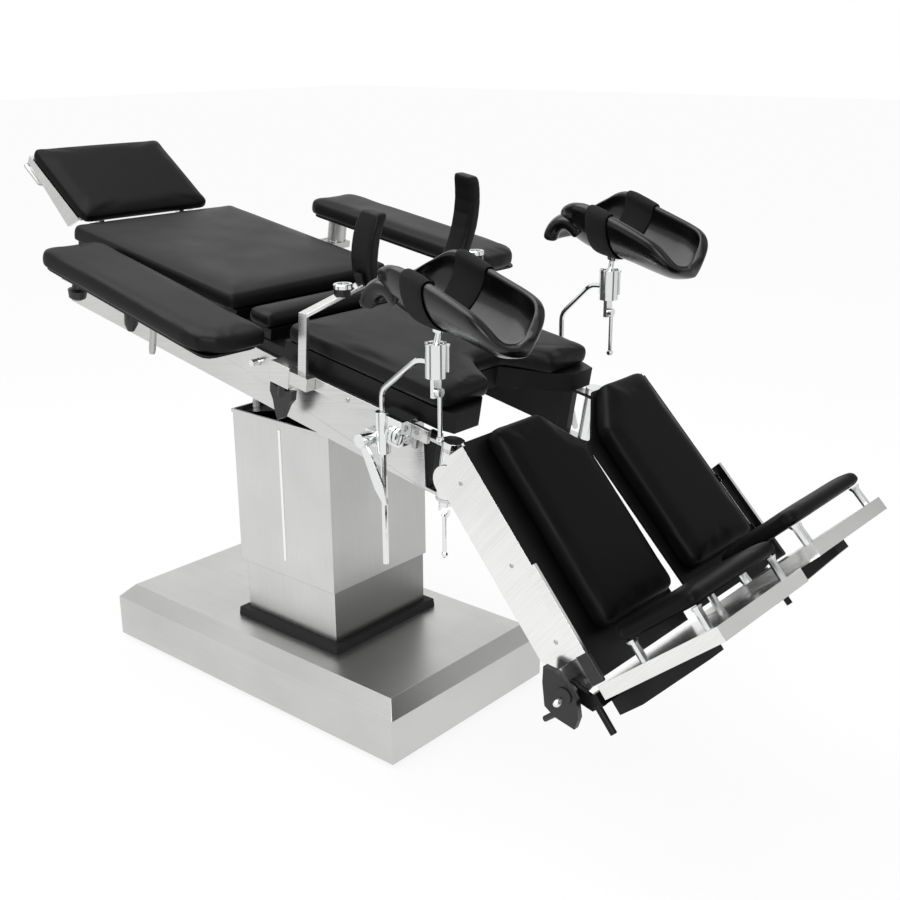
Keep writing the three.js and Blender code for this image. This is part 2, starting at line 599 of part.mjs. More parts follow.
function makeSeat() {
  const shelf = box([pan.start, -pan.halfWidth, pan.bottom], [pan.end, pan.halfWidth, pan.top]);
  const deepS = notch.deepS - panLobe.shy;
  const lobe = [
    [seat.start, -pan.halfWidth], [panLobe.shoulderS, -pan.halfWidth], [panLobe.tipS, -panLobe.outer],
    [panLobe.tipS, -panLobe.inner - panLobe.chamfer], [panLobe.cheekS, -panLobe.inner + panLobe.cheek],
    [notch.waistS, -notch.waist - panLobe.shy], [deepS, -notch.deep],
  ];
  const mirrored = lobe.map(([s, y]) => [s, -y]).reverse();
  const deck = flatSlab([...lobe, ...mirrored], pan.bottom + cut, pan.deckTop);
  const cutHalf = notch.waist + panLobe.shy / 2;
  const floorCut = flatSlab([
    [deepS, -notch.deep], [pan.end + cut, -cutHalf], [pan.end + cut, cutHalf], [deepS, notch.deep],
  ], pan.bottom - cut, pan.top + cut);
  let whole = shelf.subtract(floorCut).add(deck);
  for (const [from, to] of [[lug.frontStart, lug.frontEnd], [lug.rearStart, lug.rearEnd]]) {
    const hanger = box([from, -lug.halfWidth, lug.bottom], [to, lug.halfWidth, pan.bottom + cut]);
    const bore = boreCutter(roll.radius, [from - cut, 0, roll.n], [to + cut, 0, roll.n], barrelSides);
    whole = whole.add(hanger).subtract(bore);
  }
  const hinge = backHinge;
  for (const side of [-1, 1]) {
    for (const [from, to] of [[hinge.earIn, hinge.tongueIn - gap], [hinge.tongueOut + gap, hinge.earOut]]) {
      const eye = rod(hinge.eye, [hinge.s, side * from, hinge.n], [hinge.s, side * to, hinge.n]);
      const low = [hinge.s - hinge.eye, Math.min(side * from, side * to), pan.top - cut];
      const stand = box(low, [hinge.s + hinge.eye, Math.max(side * from, side * to), hinge.n]);
      whole = whole.add(eye).add(stand);
    }
    const pin = rod(hinge.pin, [hinge.s, side * hinge.earIn, hinge.n],
        [hinge.s, side * hinge.earOut, hinge.n]);
    const guideEnds = [pan.bottom - cut, pan.top + cut].map((n) => [guide.s, side * guide.y, n]);
    whole = whole.add(pin).subtract(boreCutter(guide.radius, ...guideEnds));
  }
  addMesh(tableFrame, "seat_pan", "black", whole);
  const outline = notchedOutline(seat.start, seat.end, seat.halfWidth, notch.mouth, seat.corner);
  addMesh(tableFrame, "seat_pad", "leather", cushion(outline, seat.top - padThickness, seat.top));
}

function makeSidePlate(name, side) {
  const corners = [
    [plate.headS, plate.headTop], [plate.headS, plate.headBottom],
    [plateFoot.bottomS, plateFoot.bottomN], [plateFoot.topS, plateFoot.topN],
  ];
  let whole = sideSlab(corners, side * plate.inner, side * plate.outer);
  const earTop = post.top + postEar.thickness + gap;
  for (const low of [post.top + gap, post.bottom - gap - postEar.thickness]) {
    const earY = [side * (post.y - postEar.radius), side * plate.outer];
    const ear = box(
      [plateFoot.topS - cut, Math.min(...earY), low], [post.s, Math.max(...earY), low + postEar.thickness]);
    const round = rod(postEar.radius, [post.s, side * post.y, low],
        [post.s, side * post.y, low + postEar.thickness]);
    const bore = boreCutter(post.pin, [post.s, side * post.y, low - cut],
        [post.s, side * post.y, earTop + cut]);
    whole = whole.add(ear).add(round).subtract(bore);
  }
  if (side < 0) {
    const from = [crank.s, side * (plate.inner - cut), crank.n];
    whole = whole.subtract(boreCutter(crank.radius, from, [crank.s, side * (plate.outer + cut), crank.n]));
  } else {
    for (const s of crossTube.places) {
      const span = plate.inner - gap;
      whole = whole.add(rod(crossTube.radius, [s, -span, crossTube.n], [s, span + cut / 2, crossTube.n]));
    }
  }
  addMesh(tableFrame, name, "steel", whole);
}

function makeRail(name, side) {
  const bar = box(
    [rail.start, Math.min(side * rail.inner, side * rail.outer), rail.bottom],
    [rail.end, Math.max(side * rail.inner, side * rail.outer), rail.top]);
  const spacers = railSpacer.places.map((s) => {
    const y = [side * (plate.outer + gap), side * (rail.inner + cut / 2)];
    return box(
      [s - railSpacer.half, Math.min(...y), rail.bottom],
      [s + railSpacer.half, Math.max(...y), railSpacer.top]);
  });
  addMesh(tableFrame, name, "steel", join(bar, ...spacers));
}

// Back, bridge and head

// Two distances from the middle of the table as low and high y on the given side.
function sidewise(side, one, two) {
  return [Math.min(side * one, side * two), Math.max(side * one, side * two)];
}

const headFrame = tiltedGroup(head.x, 0, head.z, head.pitchDeg);
const headPoint = carry([-headHinge.s, 0, headHinge.n], headFrame, tableFrame);

function makeBack() {
  const hinge = backHinge;
  const [headS, , headN] = headPoint;
  const top = -padThickness - gap;
  let whole = box([backPlate.start, -backPlate.half, backPlate.bottom], [backPlate.end, backPlate.half, top]);
  for (const side of [-1, 1]) {
    const [tongueLow, tongueHigh] = sidewise(side, hinge.tongueIn, hinge.tongueOut);
    const tongue = box(
      [backPlate.end - cut, tongueLow, hinge.n - hinge.eye], [hinge.s, tongueHigh, hinge.n + hinge.eye]);
    const eye = rod(hinge.eye, [hinge.s, tongueLow, hinge.n], [hinge.s, tongueHigh, hinge.n]);
    const bore = boreCutter(hinge.pin, [hinge.s, tongueLow - cut, hinge.n],
        [hinge.s, tongueHigh + cut, hinge.n]);
    const [armLow, armHigh] = sidewise(side, headHinge.tongueOut + gap, headHinge.armOut);
    const arm = box([headS, armLow, backPlate.bottom], [backPlate.start + cut, armHigh, top]);
    const armEye = rod(headHinge.eye, [headS, armLow, headN], [headS, armHigh, headN]);
    const web = box(
      [headS - headHinge.eye, armLow, backPlate.bottom], [headS + headHinge.eye * 2, armHigh, headN]);
    const [pinLow, pinHigh] = sidewise(side, headHinge.tongueIn, headHinge.armOut);
    const pin = rod(headHinge.pin, [headS, pinLow, headN], [headS, pinHigh, headN]);
    whole = whole.add(tongue).add(eye).subtract(bore).add(arm).add(armEye).add(web).add(pin);
  }
  addMesh(tableFrame, "back_pan", "black", whole);
  const outline = rectangle(back.start, -back.halfWidth, back.end, back.halfWidth, back.corner);
  addMesh(tableFrame, "back_pad", "leather", cushion(outline, -padThickness, 0));
}

function makeBridge() {
  const top = bridge.bottom - gap;
  const low = pan.top + gap;
  let whole = box(
    [bridge.start + bridge.inset, -bridge.plateHalf, low],
    [bridge.end - bridge.inset, bridge.plateHalf, top]);
  for (const side of [-1, 1]) {
    whole = whole.add(rod(guide.radius, [guide.s, side * guide.y, guide.bottom],
        [guide.s, side * guide.y, low + cut]));
  }
  addMesh(tableFrame, "bridge_plate", "black", whole);
  const outline = rectangle(bridge.start, -bridge.halfWidth, bridge.end, bridge.halfWidth, bridge.corner);
  addMesh(tableFrame, "bridge_pad", "leather", cushion(outline, bridge.bottom, bridge.top));
  const crankAt = (y) => [crank.s, -y, crank.n];
  const stud = rod(crank.radius, crankAt(crank.innerEnd), crankAt(crank.outerEnd));
  const hub = rod(crank.hub, crankAt(crank.innerEnd), crankAt(plate.inner - gap));
  const hexSides = 6;
  const hex = rod(crank.hexRadius, crankAt(crank.outerEnd - crank.hexLength), crankAt(crank.outerEnd),
      hexSides);
  addMesh(tableFrame, "bridge_crank", "bright", join(hub, stud, hex));
}

function makeHead() {
  const padLow = -head.thickness;
  const outline = rectangle(-head.length, -head.halfWidth, 0, head.halfWidth, head.corner);
  addMesh(headFrame, "head_pad", "leather", cushion(outline, padLow, 0));
  const top = padLow - gap;
  let whole = box(
    [-headPlate.end, -headPlate.halfWidth, top - headPlate.thickness],
    [-headPlate.start, headPlate.halfWidth, top]);
  const cheek = headCheek;
  for (const side of [-1, 1]) {
    const corners = [
      [-cheek.nearS, cheek.nearN], [-cheek.nearS, top], [-cheek.farS, top],
      [-cheek.farS, cheek.farLow], [-cheek.lowS, cheek.lowN],
    ];
    const inner = headPlate.halfWidth - cut / 2;
    whole = whole.add(sideSlab(corners, side * inner, side * (headPlate.halfWidth + headPlate.cheek)));
    const from = side * headHinge.tongueIn;
    const to = side * headHinge.tongueOut;
    const eye = rod(headHinge.eye, [-headHinge.s, from, headHinge.n], [-headHinge.s, to, headHinge.n]);
    const webTop = top - headPlate.thickness / 2;
    const web = sideSlab([
      [-headHinge.s + headHinge.eye, headHinge.n], [-headPlate.start, webTop],
      [-headPlate.start - headHinge.eye * 4, webTop], [-headHinge.s - headHinge.eye, headHinge.n],
    ], from, to);
    const boreEnds = [headHinge.tongueIn - cut, headHinge.tongueOut + cut].map((y) => (
      [-headHinge.s, side * y, headHinge.n]));
    whole = whole.add(eye).add(web).subtract(boreCutter(headHinge.pin, ...boreEnds));
  }

  // The bent handle hangs under the cheeks and runs across the open end.
  const handle = headHandle;
  const nearHalf = [
    [-handle.rootA, -handle.y, handle.rootC], [-handle.startA, -handle.y, handle.c],
    [-handle.endA, -handle.y, handle.c],
  ];
  const farHalf = nearHalf.map(([a, y, c]) => [a, -y, c]).reverse();
  const bow = bentRod([...nearHalf, ...farHalf], handle.radius, handle.bend);
  addMesh(headFrame, "head_frame", "steel", whole.add(bow));
}

// Arm boards

function makeArm(label, side, place) {
  const frame = tiltedGroup(place.x, place.y, place.z, place.tiltDeg, place.yawDeg);
  const half = [arm.length / 2, arm.width / 2];
  const inner = -side;
  const corners = [
    [-half[0], inner * half[1], arm.corner], [half[0], inner * half[1], arm.innerCorner],
    [half[0], -inner * half[1], arm.endCorner], [-half[0], -inner * half[1], arm.corner],
  ];
  addMesh(frame, `arm_pad_${label}`, "leather", cushion(corners, -arm.thickness, 0));
  const boardTop = -arm.thickness - gap;
  const boardLow = boardTop - armBoard.thickness;
  const edge = armBoard.inset;
  const boardOutline = rectangle(-half[0] + edge, -half[1] + edge, half[0] - edge, half[1] - edge,
      arm.corner - edge);
  const board = flatSlab(roundedOutline(boardOutline), boardLow, boardTop);
  const bossLow = boardLow - armPivot.bossHeight;
  const centre = [place.pivotS, place.pivotY];
  const boss = rod(armPivot.boss, [...centre, bossLow], [...centre, boardTop - cut / 2]);
  const socket = boreCutter(armPivot.radius, [...centre, bossLow - cut], [...centre, boardLow - gap]);
  addMesh(frame, `arm_board_${label}`, "black", board.add(boss).subtract(socket));
  const pinTop = carry([...centre, boardLow - 2 * gap], frame, tableFrame);
  const seatAt = carry([...centre, bossLow - gap], frame, tableFrame);
  const drop = seatAt[2] - armBracket.top + cut;
  const root = carry([...centre, bossLow - gap - drop], frame, tableFrame);
  const collar = rod(armPivot.boss, root, seatAt);
  const pin = rod(armPivot.radius, root, pinTop);
  const reach = [side * armBracket.innerY, root[1] + side * armBracket.half];
  const bar = box(
    [root[0] - armBracket.half, Math.min(...reach), armBracket.top - armBracket.thickness],
    [root[0] + armBracket.half, Math.max(...reach), armBracket.top]);
  addMesh(tableFrame, `arm_bracket_${label}`, "steel", join(bar, collar, pin));
}

// Lateral supports

function makeLateral(label, side) {
  const spot = supportPlaces[label];
  const { rise } = spot;
  const [jawLow, jawHigh] = sidewise(side, rail.outer + gap, lateral.outer);
  const [lipLow, lipHigh] = sidewise(side, lateral.lip, rail.outer + cut);
  const [holderLow, holderHigh] = sidewise(side, rail.outer + gap, barHolder.outer);
  const { start, end } = lateral;
  const screw = [lateral.s, side * wing.y];
  const jaw = box([start, jawLow, lateral.bottom], [end, jawHigh, lateral.top]);
  const holder = box([end - cut, holderLow, barHolder.bottom], [barHolder.end, holderHigh, barHolder.top]);
  const upper = box([start, lipLow, rail.top + gap], [end, lipHigh, lateral.top]);
  const lower = box([start, lipLow, lateral.bottom], [end, lipHigh, rail.bottom - gap]);
  const screwBore = boreCutter(wing.screw, [...screw, lateral.bottom - cut],
      [...screw, lateral.bottom + 2 * cut]);
  const clampSolid = join(jaw, holder, upper, lower).subtract(screwBore);
  const barWidth = supportBar.width / 2;
  const barEdges = [supportBar.y - supportBar.thickness / 2, supportBar.y + supportBar.thickness / 2];
  const [barLow, barHigh] = sidewise(side, ...barEdges);

  // The bar runs up through its holder, then leans inward to the pad.
  const knee = [supportBar.kneeX + barLean * rise, supportBar.kneeZ + rise];
  const upright = sideSlab([
    [supportBar.footX - barWidth, supportBar.footZ], [supportBar.footX + barWidth, supportBar.footZ],
    [knee[0] + barWidth, knee[1]], [knee[0] - barWidth, knee[1]],
  ], barLow, barHigh);
  const thick = supportNeck.thickness;
  const ring = (x, y, z) => [
    new THREE.Vector3(x - barWidth, y, z - thick), new THREE.Vector3(x + barWidth, y, z - thick),
    new THREE.Vector3(x + barWidth, y, z), new THREE.Vector3(x - barWidth, y, z),
  ];
  const neckY = supportFace(spot, supportNeck.rootShare) + gap + thick / 2;
  const [neckX, , neckZ] = carry([spot.s, 0, supportHeight(spot, supportNeck.rootShare)], tableFrame,
      floorFrame);
  const neck = loft([
    ring(knee[0], side * (supportBar.y + supportBar.thickness / 2), knee[1]),
    ring(neckX, side * neckY, neckZ)]);
  const riser = loft(supportNeck.shares.map((height) => {
    const low = supportFace(spot, height) + gap;
    return [
      [-barWidth, low], [barWidth, low], [barWidth, low + thick], [-barWidth, low + thick],
    ].map(([s, y]) => new THREE.Vector3(
      ...carry([spot.s + s, side * y, supportHeight(spot, height)], tableFrame, floorFrame)));
  }));
  addMesh(floorFrame, `lateral_bar_${label}`, "steel", join(upright, neck, riser));
  addMesh(tableFrame, `lateral_clamp_${label}`, "steel",
      clampSolid.subtract(barSlot(barWidth, barLow, barHigh)));

  const wingCorners = lateralWings.map(([s, n]) => [lateral.s + s, lateral.bottom - gap - cut + n]);
  const wings = sideSlab(wingCorners, side * (wing.y - wing.thickness / 2),
      side * (wing.y + wing.thickness / 2));
  const hub = rod(wing.hub, [...screw, lateral.bottom - gap - cut * 4], [...screw, lateral.bottom - gap]);
  const thread = rod(wing.screw, [...screw, lateral.bottom - cut],
      [...screw, lateral.bottom + 2 * cut - gap]);
  addMesh(tableFrame, `lateral_knob_${label}`, "black", join(wings, hub, thread));
  makeLateralPad(label, side, spot);
}

// The holder leaves room for the upright bar, which leans a little in the holder's own frame.
function barSlot(barWidth, barLow, barHigh) {
  const reach = supportBar.kneeZ;
  const lowZ = supportBar.footZ - (reach - supportBar.footZ);
  const lowX = supportBar.footX - barLean * (reach - supportBar.footZ);
  const corners = [
    [lowX - barWidth - gap, lowZ], [lowX + barWidth + gap, lowZ],
    [supportBar.kneeX + barWidth + gap, reach], [supportBar.kneeX - barWidth - gap, reach],
  ].map(([x, z]) => {
    const [s, , n] = carry([x, 0, z], floorFrame, tableFrame);
    return [s, n];
  });
  return sideSlab(corners, barLow - gap, barHigh + gap);
}

// A support pad is bowed, so that it holds the body between its two ends.
function supportFace(spot, height) {
  return spot.y - supportPad.bow * (height - supportPad.bowMiddle) ** 2;
}

function supportHeight(spot, height) {
  return THREE.MathUtils.lerp(spot.bottom, spot.top, height);
}

function makeLateralPad(label, side, spot) {
  const { width, thickness, edge } = supportPad;
  const rings = supportRings.map(({ height, draw }) => {
    const reach = width / 2 * draw;
    const outer = side * supportFace(spot, height);
    const inner = outer - side * thickness;
    return [
      [spot.s - reach + edge, outer], [spot.s + reach - edge, outer], [spot.s + reach, outer - side * edge],
      [spot.s + reach, inner + side * edge], [spot.s + reach - edge, inner], [spot.s - reach + edge, inner],
      [spot.s - reach, inner + side * edge], [spot.s - reach, outer - side * edge],
    ].map(([s, y]) => new THREE.Vector3(s, y, supportHeight(spot, height)));
  });
  addMesh(tableFrame, `lateral_pad_${label}`, "leather", loft(rings));
}

// Knee crutches

function makeCrutch(label, side, place) {
  const y = side * crutchY;
  const ballCentre = [place.ballX, y, place.ballZ];
  const clamp = railClamp;
  const [jawLow, jawHigh] = sidewise(side, rail.outer + gap, clamp.outer);
  const [lipLow, lipHigh] = sidewise(side, clamp.lip, rail.outer + cut);
  const jaw = box([clamp.start, jawLow, clamp.bottom], [clamp.end, jawHigh, clamp.top]);
  const upper = box([clamp.start, lipLow, rail.top + gap], [clamp.end, lipHigh, clamp.top]);
  const lower = box([clamp.start, lipLow, clamp.bottom], [clamp.end, lipHigh, rail.bottom - gap]);
  const alongRod = (z) => carry([crutchRod.x, y, z], floorFrame, tableFrame);
  const tube = rod(clampTube.radius, alongRod(clampTube.bottom), alongRod(clampTube.top));
  const bore = boreCutter(crutchRod.radius, alongRod(clampTube.bottom - cut * 4),
      alongRod(clampTube.top + cut * 4));
  const hub = lockLever;
  const [hubS, , hubN] = carry([hub.x, 0, hub.z], floorFrame, tableFrame);
  const arm = box(
    [hubS - hub.hubRadius, jawLow, hubN - hub.hubRadius], [clamp.start + cut, jawHigh, hubN + hub.hubRadius]);
  const screwHole = boreCutter(
    hub.screw, [hubS, side * (clamp.outer - cut * 3), hubN], [hubS, side * (clamp.outer + cut), hubN]);
  const body = join(jaw, upper, lower, tube, arm).subtract(bore).subtract(screwHole);
  addMesh(tableFrame, `rail_clamp_${label}`, "bright", body);

  const leverHub = rod(hub.hubRadius, [hub.x, side * (clamp.outer + gap), hub.z],
      [hub.x, side * hub.hubOut, hub.z]);
  const screw = rod(hub.screw, [hub.x, side * (clamp.outer - cut * 2), hub.z],
      [hub.x, side * (clamp.outer + cut), hub.z]);
  const blade = leverSlab(hub, leverBlade, side);
  addMesh(floorFrame, `rail_lever_${label}`, "bright", join(leverHub, screw, blade));

  const endX = place.ballX - ballClamp.radius - gap;
  const landing = endX - crutchRod.bend * 1.5;
  const rodSolid = bentRod([
    [crutchRod.x, y, crutchRod.bottom], [crutchRod.x, y, place.kneeZ], [landing, y, place.endZ],
      [endX, y, place.endZ],
  ], crutchRod.radius, crutchRod.bend);
  addMesh(floorFrame, `crutch_rod_${label}`, "bright", rodSolid);

  const low = place.ballZ - ballClamp.under;
  const high = low + ballClamp.length;
  const barrel = rod(ballClamp.radius, [place.ballX, y, low], [place.ballX, y, high]);
  const socket = socketCutter(ballClamp.ball, ballCentre);
  const mouth = rod(ballClamp.mouth, ballCentre, [place.ballX, y, high + cut]);
  const fork = box(
    [place.ballX - ballFork.width / 2, y - ballFork.half, low - ballFork.drop],
    [place.ballX + ballFork.width / 2, y + ballFork.half, low + cut]);
  const forkZ = low - ballFork.drop + ballFork.half;
  const forkBore = boreCutter(ballLever.radius, [place.ballX - cut * 2, y, forkZ],
      [place.ballX + cut * 2, y, forkZ]);
  addMesh(floorFrame, `ball_clamp_${label}`, "bright",
      barrel.subtract(socket.add(mouth)).add(fork).subtract(forkBore));

  const face = place.ballX + ballFork.width / 2 + gap;
  const leverX = face + ballLever.hubRadius / 2;
  const leverPin = rod(ballLever.radius, [place.ballX - ballFork.width / 2, y, forkZ], [leverX, y, forkZ]);
  const leverEye = rod(ballLever.hubRadius, [face, y, forkZ], [face + ballLever.hubRadius, y, forkZ]);
  const stick = rod(ballLever.radius, [leverX, y, forkZ], [leverX, y, forkZ - ballLever.length]);
  const tip = ball(ballLever.tip, [leverX, y, forkZ - ballLever.length], tubeSides);
  addMesh(floorFrame, `ball_lever_${label}`, "bright", join(leverPin, leverEye, stick, tip));

  const frame = tiltedGroup(...ballCentre, shellTiltDeg);
  const outer = shellLoft(0);
  const inner = shellLoft(shellWall);
  const knob = ball(ballClamp.ball, [0, 0, 0]);
  const neck = rod(ballClamp.neck, [0, 0, 0], [0, 0, shellNeckTop + shellWall / 2]);
  addMesh(frame, `crutch_shell_${label}`, "gloss", join(outer.subtract(inner), knob, neck));
}

function leverSlab(hub, blade, side) {
  const from = new THREE.Vector2(hub.x, hub.z);
  const to = new THREE.Vector2(hub.tipX, hub.tipZ);
  const aside = to.clone().sub(from).normalize().rotateAround(new THREE.Vector2(), Math.PI / 2);
  const corner = (point, width) => [point.x + aside.x * width, point.y + aside.y * width];
  const belly = from.clone().lerp(to, blade.bellyShare);
  const corners = [
    corner(from, blade.rootWidth), corner(from, -blade.rootWidth), corner(belly, -blade.bellyWidth),
    corner(to, -blade.tipWidth), corner(to, blade.tipWidth), corner(belly, blade.bellyWidth),
  ];
  return sideSlab(corners, side * (blade.y - blade.thickness / 2), side * (blade.y + blade.thickness / 2));
}

// Trough sections across the thigh, drawn in by the wall for the hollow.
function shellLoft(wall) {
  const last = shellStations.length - 1;
  const rings = shellStations.map((station, index) => {
    const push = index === 0 ? wall : index === last ? -wall : 0;
    const half = station.half - wall;
    const points = [];
    for (let step = 0; step <= shellSteps; step += 1) {
      const turn = (step / shellSteps - 0.5) * Math.PI;
      const rim = (turn < 0 ? station.near : station.far);
      const low = station.low + wall;
      const bulge = (1 - shellBulgeShare) * Math.sin(turn) + shellBulgeShare * Math.sin(turn) ** 3;
      const z = low + (rim - low) * (1 - Math.cos(turn));
      points.push(new THREE.Vector3(station.u + push, half * bulge, z));
    }
    if (wall > 0) {
      points.push(new THREE.Vector3(station.u + push, half, station.far + shellLift));
      points.push(new THREE.Vector3(station.u + push, -half, station.near + shellLift));
    }
    return points;
  });
  return loft(rings);
}

// Legs and foot boards

function makeLeg(label, side, pitchDeg) {
  const axle = carry([legPitch.s, side * post.y, legPitch.n], tableFrame, floorFrame);
  const turn = THREE.MathUtils.degToRad(pitchDeg);
  const cos = Math.cos(turn);
  const sin = Math.sin(turn);
  const x = axle[0] + legAxis.a * cos + legAxis.c * sin;
  const z = axle[2] - legAxis.a * sin + legAxis.c * cos;
  const frame = tiltedGroup(x, 0, z, pitchDeg);
  const band = (from, to) => sidewise(side, from, to);
  const place = [post.s, side * post.y];
  const axisA = -legAxis.a;
  const axisC = -legAxis.c;

  const barrel = rod(post.radius, [...place, post.bottom], [...place, post.top]);
  const pin = rod(post.pin, [...place, post.bottom - postEar.thickness - gap * 2], [...place, post.capTop]);
  const capLow = post.top + postEar.thickness + 2 * gap;
  const cap = rod(post.cap, [...place, capLow], [...place, post.capTop]);
  const pinReach = legPitchPin;
  const across = rod(
    pinReach.radius, [legPitch.s, side * pinReach.inner, legPitch.n],
    [legPitch.s, side * pinReach.outer, legPitch.n]);
  const [armLow, armHigh] = band(pinReach.armIn, pinReach.armOut);
  const forward = box(
    [post.s, armLow, legPitch.n - pinReach.armHalf], [legPitch.s, armHigh, legPitch.n + pinReach.armHalf]);
  const armEnd = rod(
    pinReach.armHalf, [legPitch.s, armLow, legPitch.n], [legPitch.s, armHigh, legPitch.n], barrelSides);
  addMesh(tableFrame, `leg_post_${label}`, "steel", join(barrel, pin, cap, across, forward, armEnd));

  const earLow = post.bottom - 2 * gap - postEar.thickness;
  const [ringX, ringY, ringZ] = carry([...place, earLow - legLever.collar - legLever.ring], tableFrame,
      floorFrame);
  const collar = floorRod(legLever.collar, [...place, earLow - gap], [...place, earLow - legLever.collar]);
  const torus = new THREE.TorusGeometry(legLever.ring, legLever.ringWire, tubeSides / 2, rodSides);
  const ring = solidOf(torus.rotateX(Math.PI / 2).translate(ringX, ringY, ringZ));
  const stick = rod(legLever.rod, [ringX, ringY, ringZ - legLever.ring], [ringX, ringY, legLever.end]);
  const tip = ball(legLever.tip, [ringX, ringY, legLever.end], tubeSides);
  addMesh(floorFrame, `leg_lever_${label}`, "bright", join(collar, ring, stick, tip));

  const plateLow = legPlate.top - legPlate.thickness;
  const notchCorners = [
    [0, side * legPlate.outer], [0, side * legNotch.mouth],
    [legNotch.depth, side * (legPlate.inner + legNotch.step)],
    [legNotch.depth + cut, side * legPlate.inner], [legPlate.length, side * legPlate.inner],
    [legPlate.length, side * legPlate.outer],
  ];
  const floorPlate = flatSlab(notchCorners, plateLow, legPlate.top);
  const sideOuter = legPlate.outer + legSide.thickness;
  const [sideLow, sideHigh] = band(legPlate.outer - cut / 2, sideOuter);
  const heel = legHeel;
  const cheek = sideSlab([
    [heel.topA, legSide.top], [heel.cornerA, heel.cornerC], [axisA, axisC], [axisA, legSide.bottom],
    [heel.lowA, legSide.bottom], [heel.tipA, heel.tipC], [legSide.length, legSide.top],
  ], sideLow, sideHigh);
  const [heelLow, heelHigh] = band(heel.inner, legPlate.outer);
  const hingeLow = footHinge.c - footHinge.washer;
  const weldTop = plateLow + cut / 2;
  const heelPlate = sideSlab([
    [heel.startA, weldTop], [heel.startA, footHinge.c], [footHinge.a - footHinge.washer, hingeLow],
    [footHinge.a + footHinge.washer, hingeLow], [heel.endA, footHinge.c], [legPlate.length, weldTop],
  ], heelLow, heelHigh);
  const boss = rod(
    legBoss.radius, [axisA, side * (legPlate.outer - cut / 2), axisC], [axisA, side * sideOuter, axisC],
    barrelSides);
  const hub = rod(legBoss.hub, [axisA, side * legBoss.inner, axisC], [axisA, side * legPlate.outer, axisC]);
  const [tongueLow, tongueHigh] = band(legTongue.inner, legTongue.outer);
  const onAxis = (y) => [axisA, side * y, axisC];
  const tongue = sideSlab([
    [axisA - legTongue.radius, axisC], [legTongue.footStart / 2, weldTop],
    [legTongue.footEnd, weldTop], [axisA + legTongue.radius, axisC],
  ], tongueLow, tongueHigh);
  const tongueEye = rod(legTongue.radius, onAxis(legTongue.inner), onAxis(legTongue.outer));
  const pinBore = boreCutter(legPitchPin.radius, onAxis(legTongue.inner - cut),
      onAxis(legPitchPin.outer + gap));
  const [railLow, railHigh] = band(legRail.inner, legRail.outer);
  const bar = box([legRail.start, railLow, legRail.low], [legRail.end, railHigh, legRail.high]);
  const [spacerLow, spacerHigh] = band(sideOuter - cut / 2, legRail.inner + cut / 2);
  const spacers = legRail.places.map((a) => box(
    [a - legRail.spacer, spacerLow, legRail.low - cut], [a + legRail.spacer, spacerHigh, legSide.top]));
  const footBore = boreCutter(footHinge.pin, [footHinge.a, side * (heel.inner - cut), footHinge.c],
    [footHinge.a, side * (sideOuter + cut), footHinge.c]);
  const legSolid = join(floorPlate, cheek, heelPlate, boss, hub, tongue, tongueEye, bar, ...spacers)
    .subtract(pinBore).subtract(footBore);
  addMesh(frame, `leg_frame_${label}`, "steel", legSolid);

  const padCorners = [
    [0, side * legPad.outer, legPad.corner], [0, side * legNotch.mouth, legPad.mouthCorner],
    [legNotch.depth, side * (legPad.inner + legNotch.padStep), legPad.corner],
    [legPad.length, side * legPad.inner, legPad.corner], [legPad.length, side * legPad.outer, legPad.corner],
  ];
  addMesh(frame, `leg_pad_${label}`, "leather", cushion(padCorners, -padThickness, 0));
  makeFootBoard(frame, label, side, band);
}

function floorRod(radius, from, to) {
  return rod(radius, carry(from, tableFrame, floorFrame), carry(to, tableFrame, floorFrame));
}

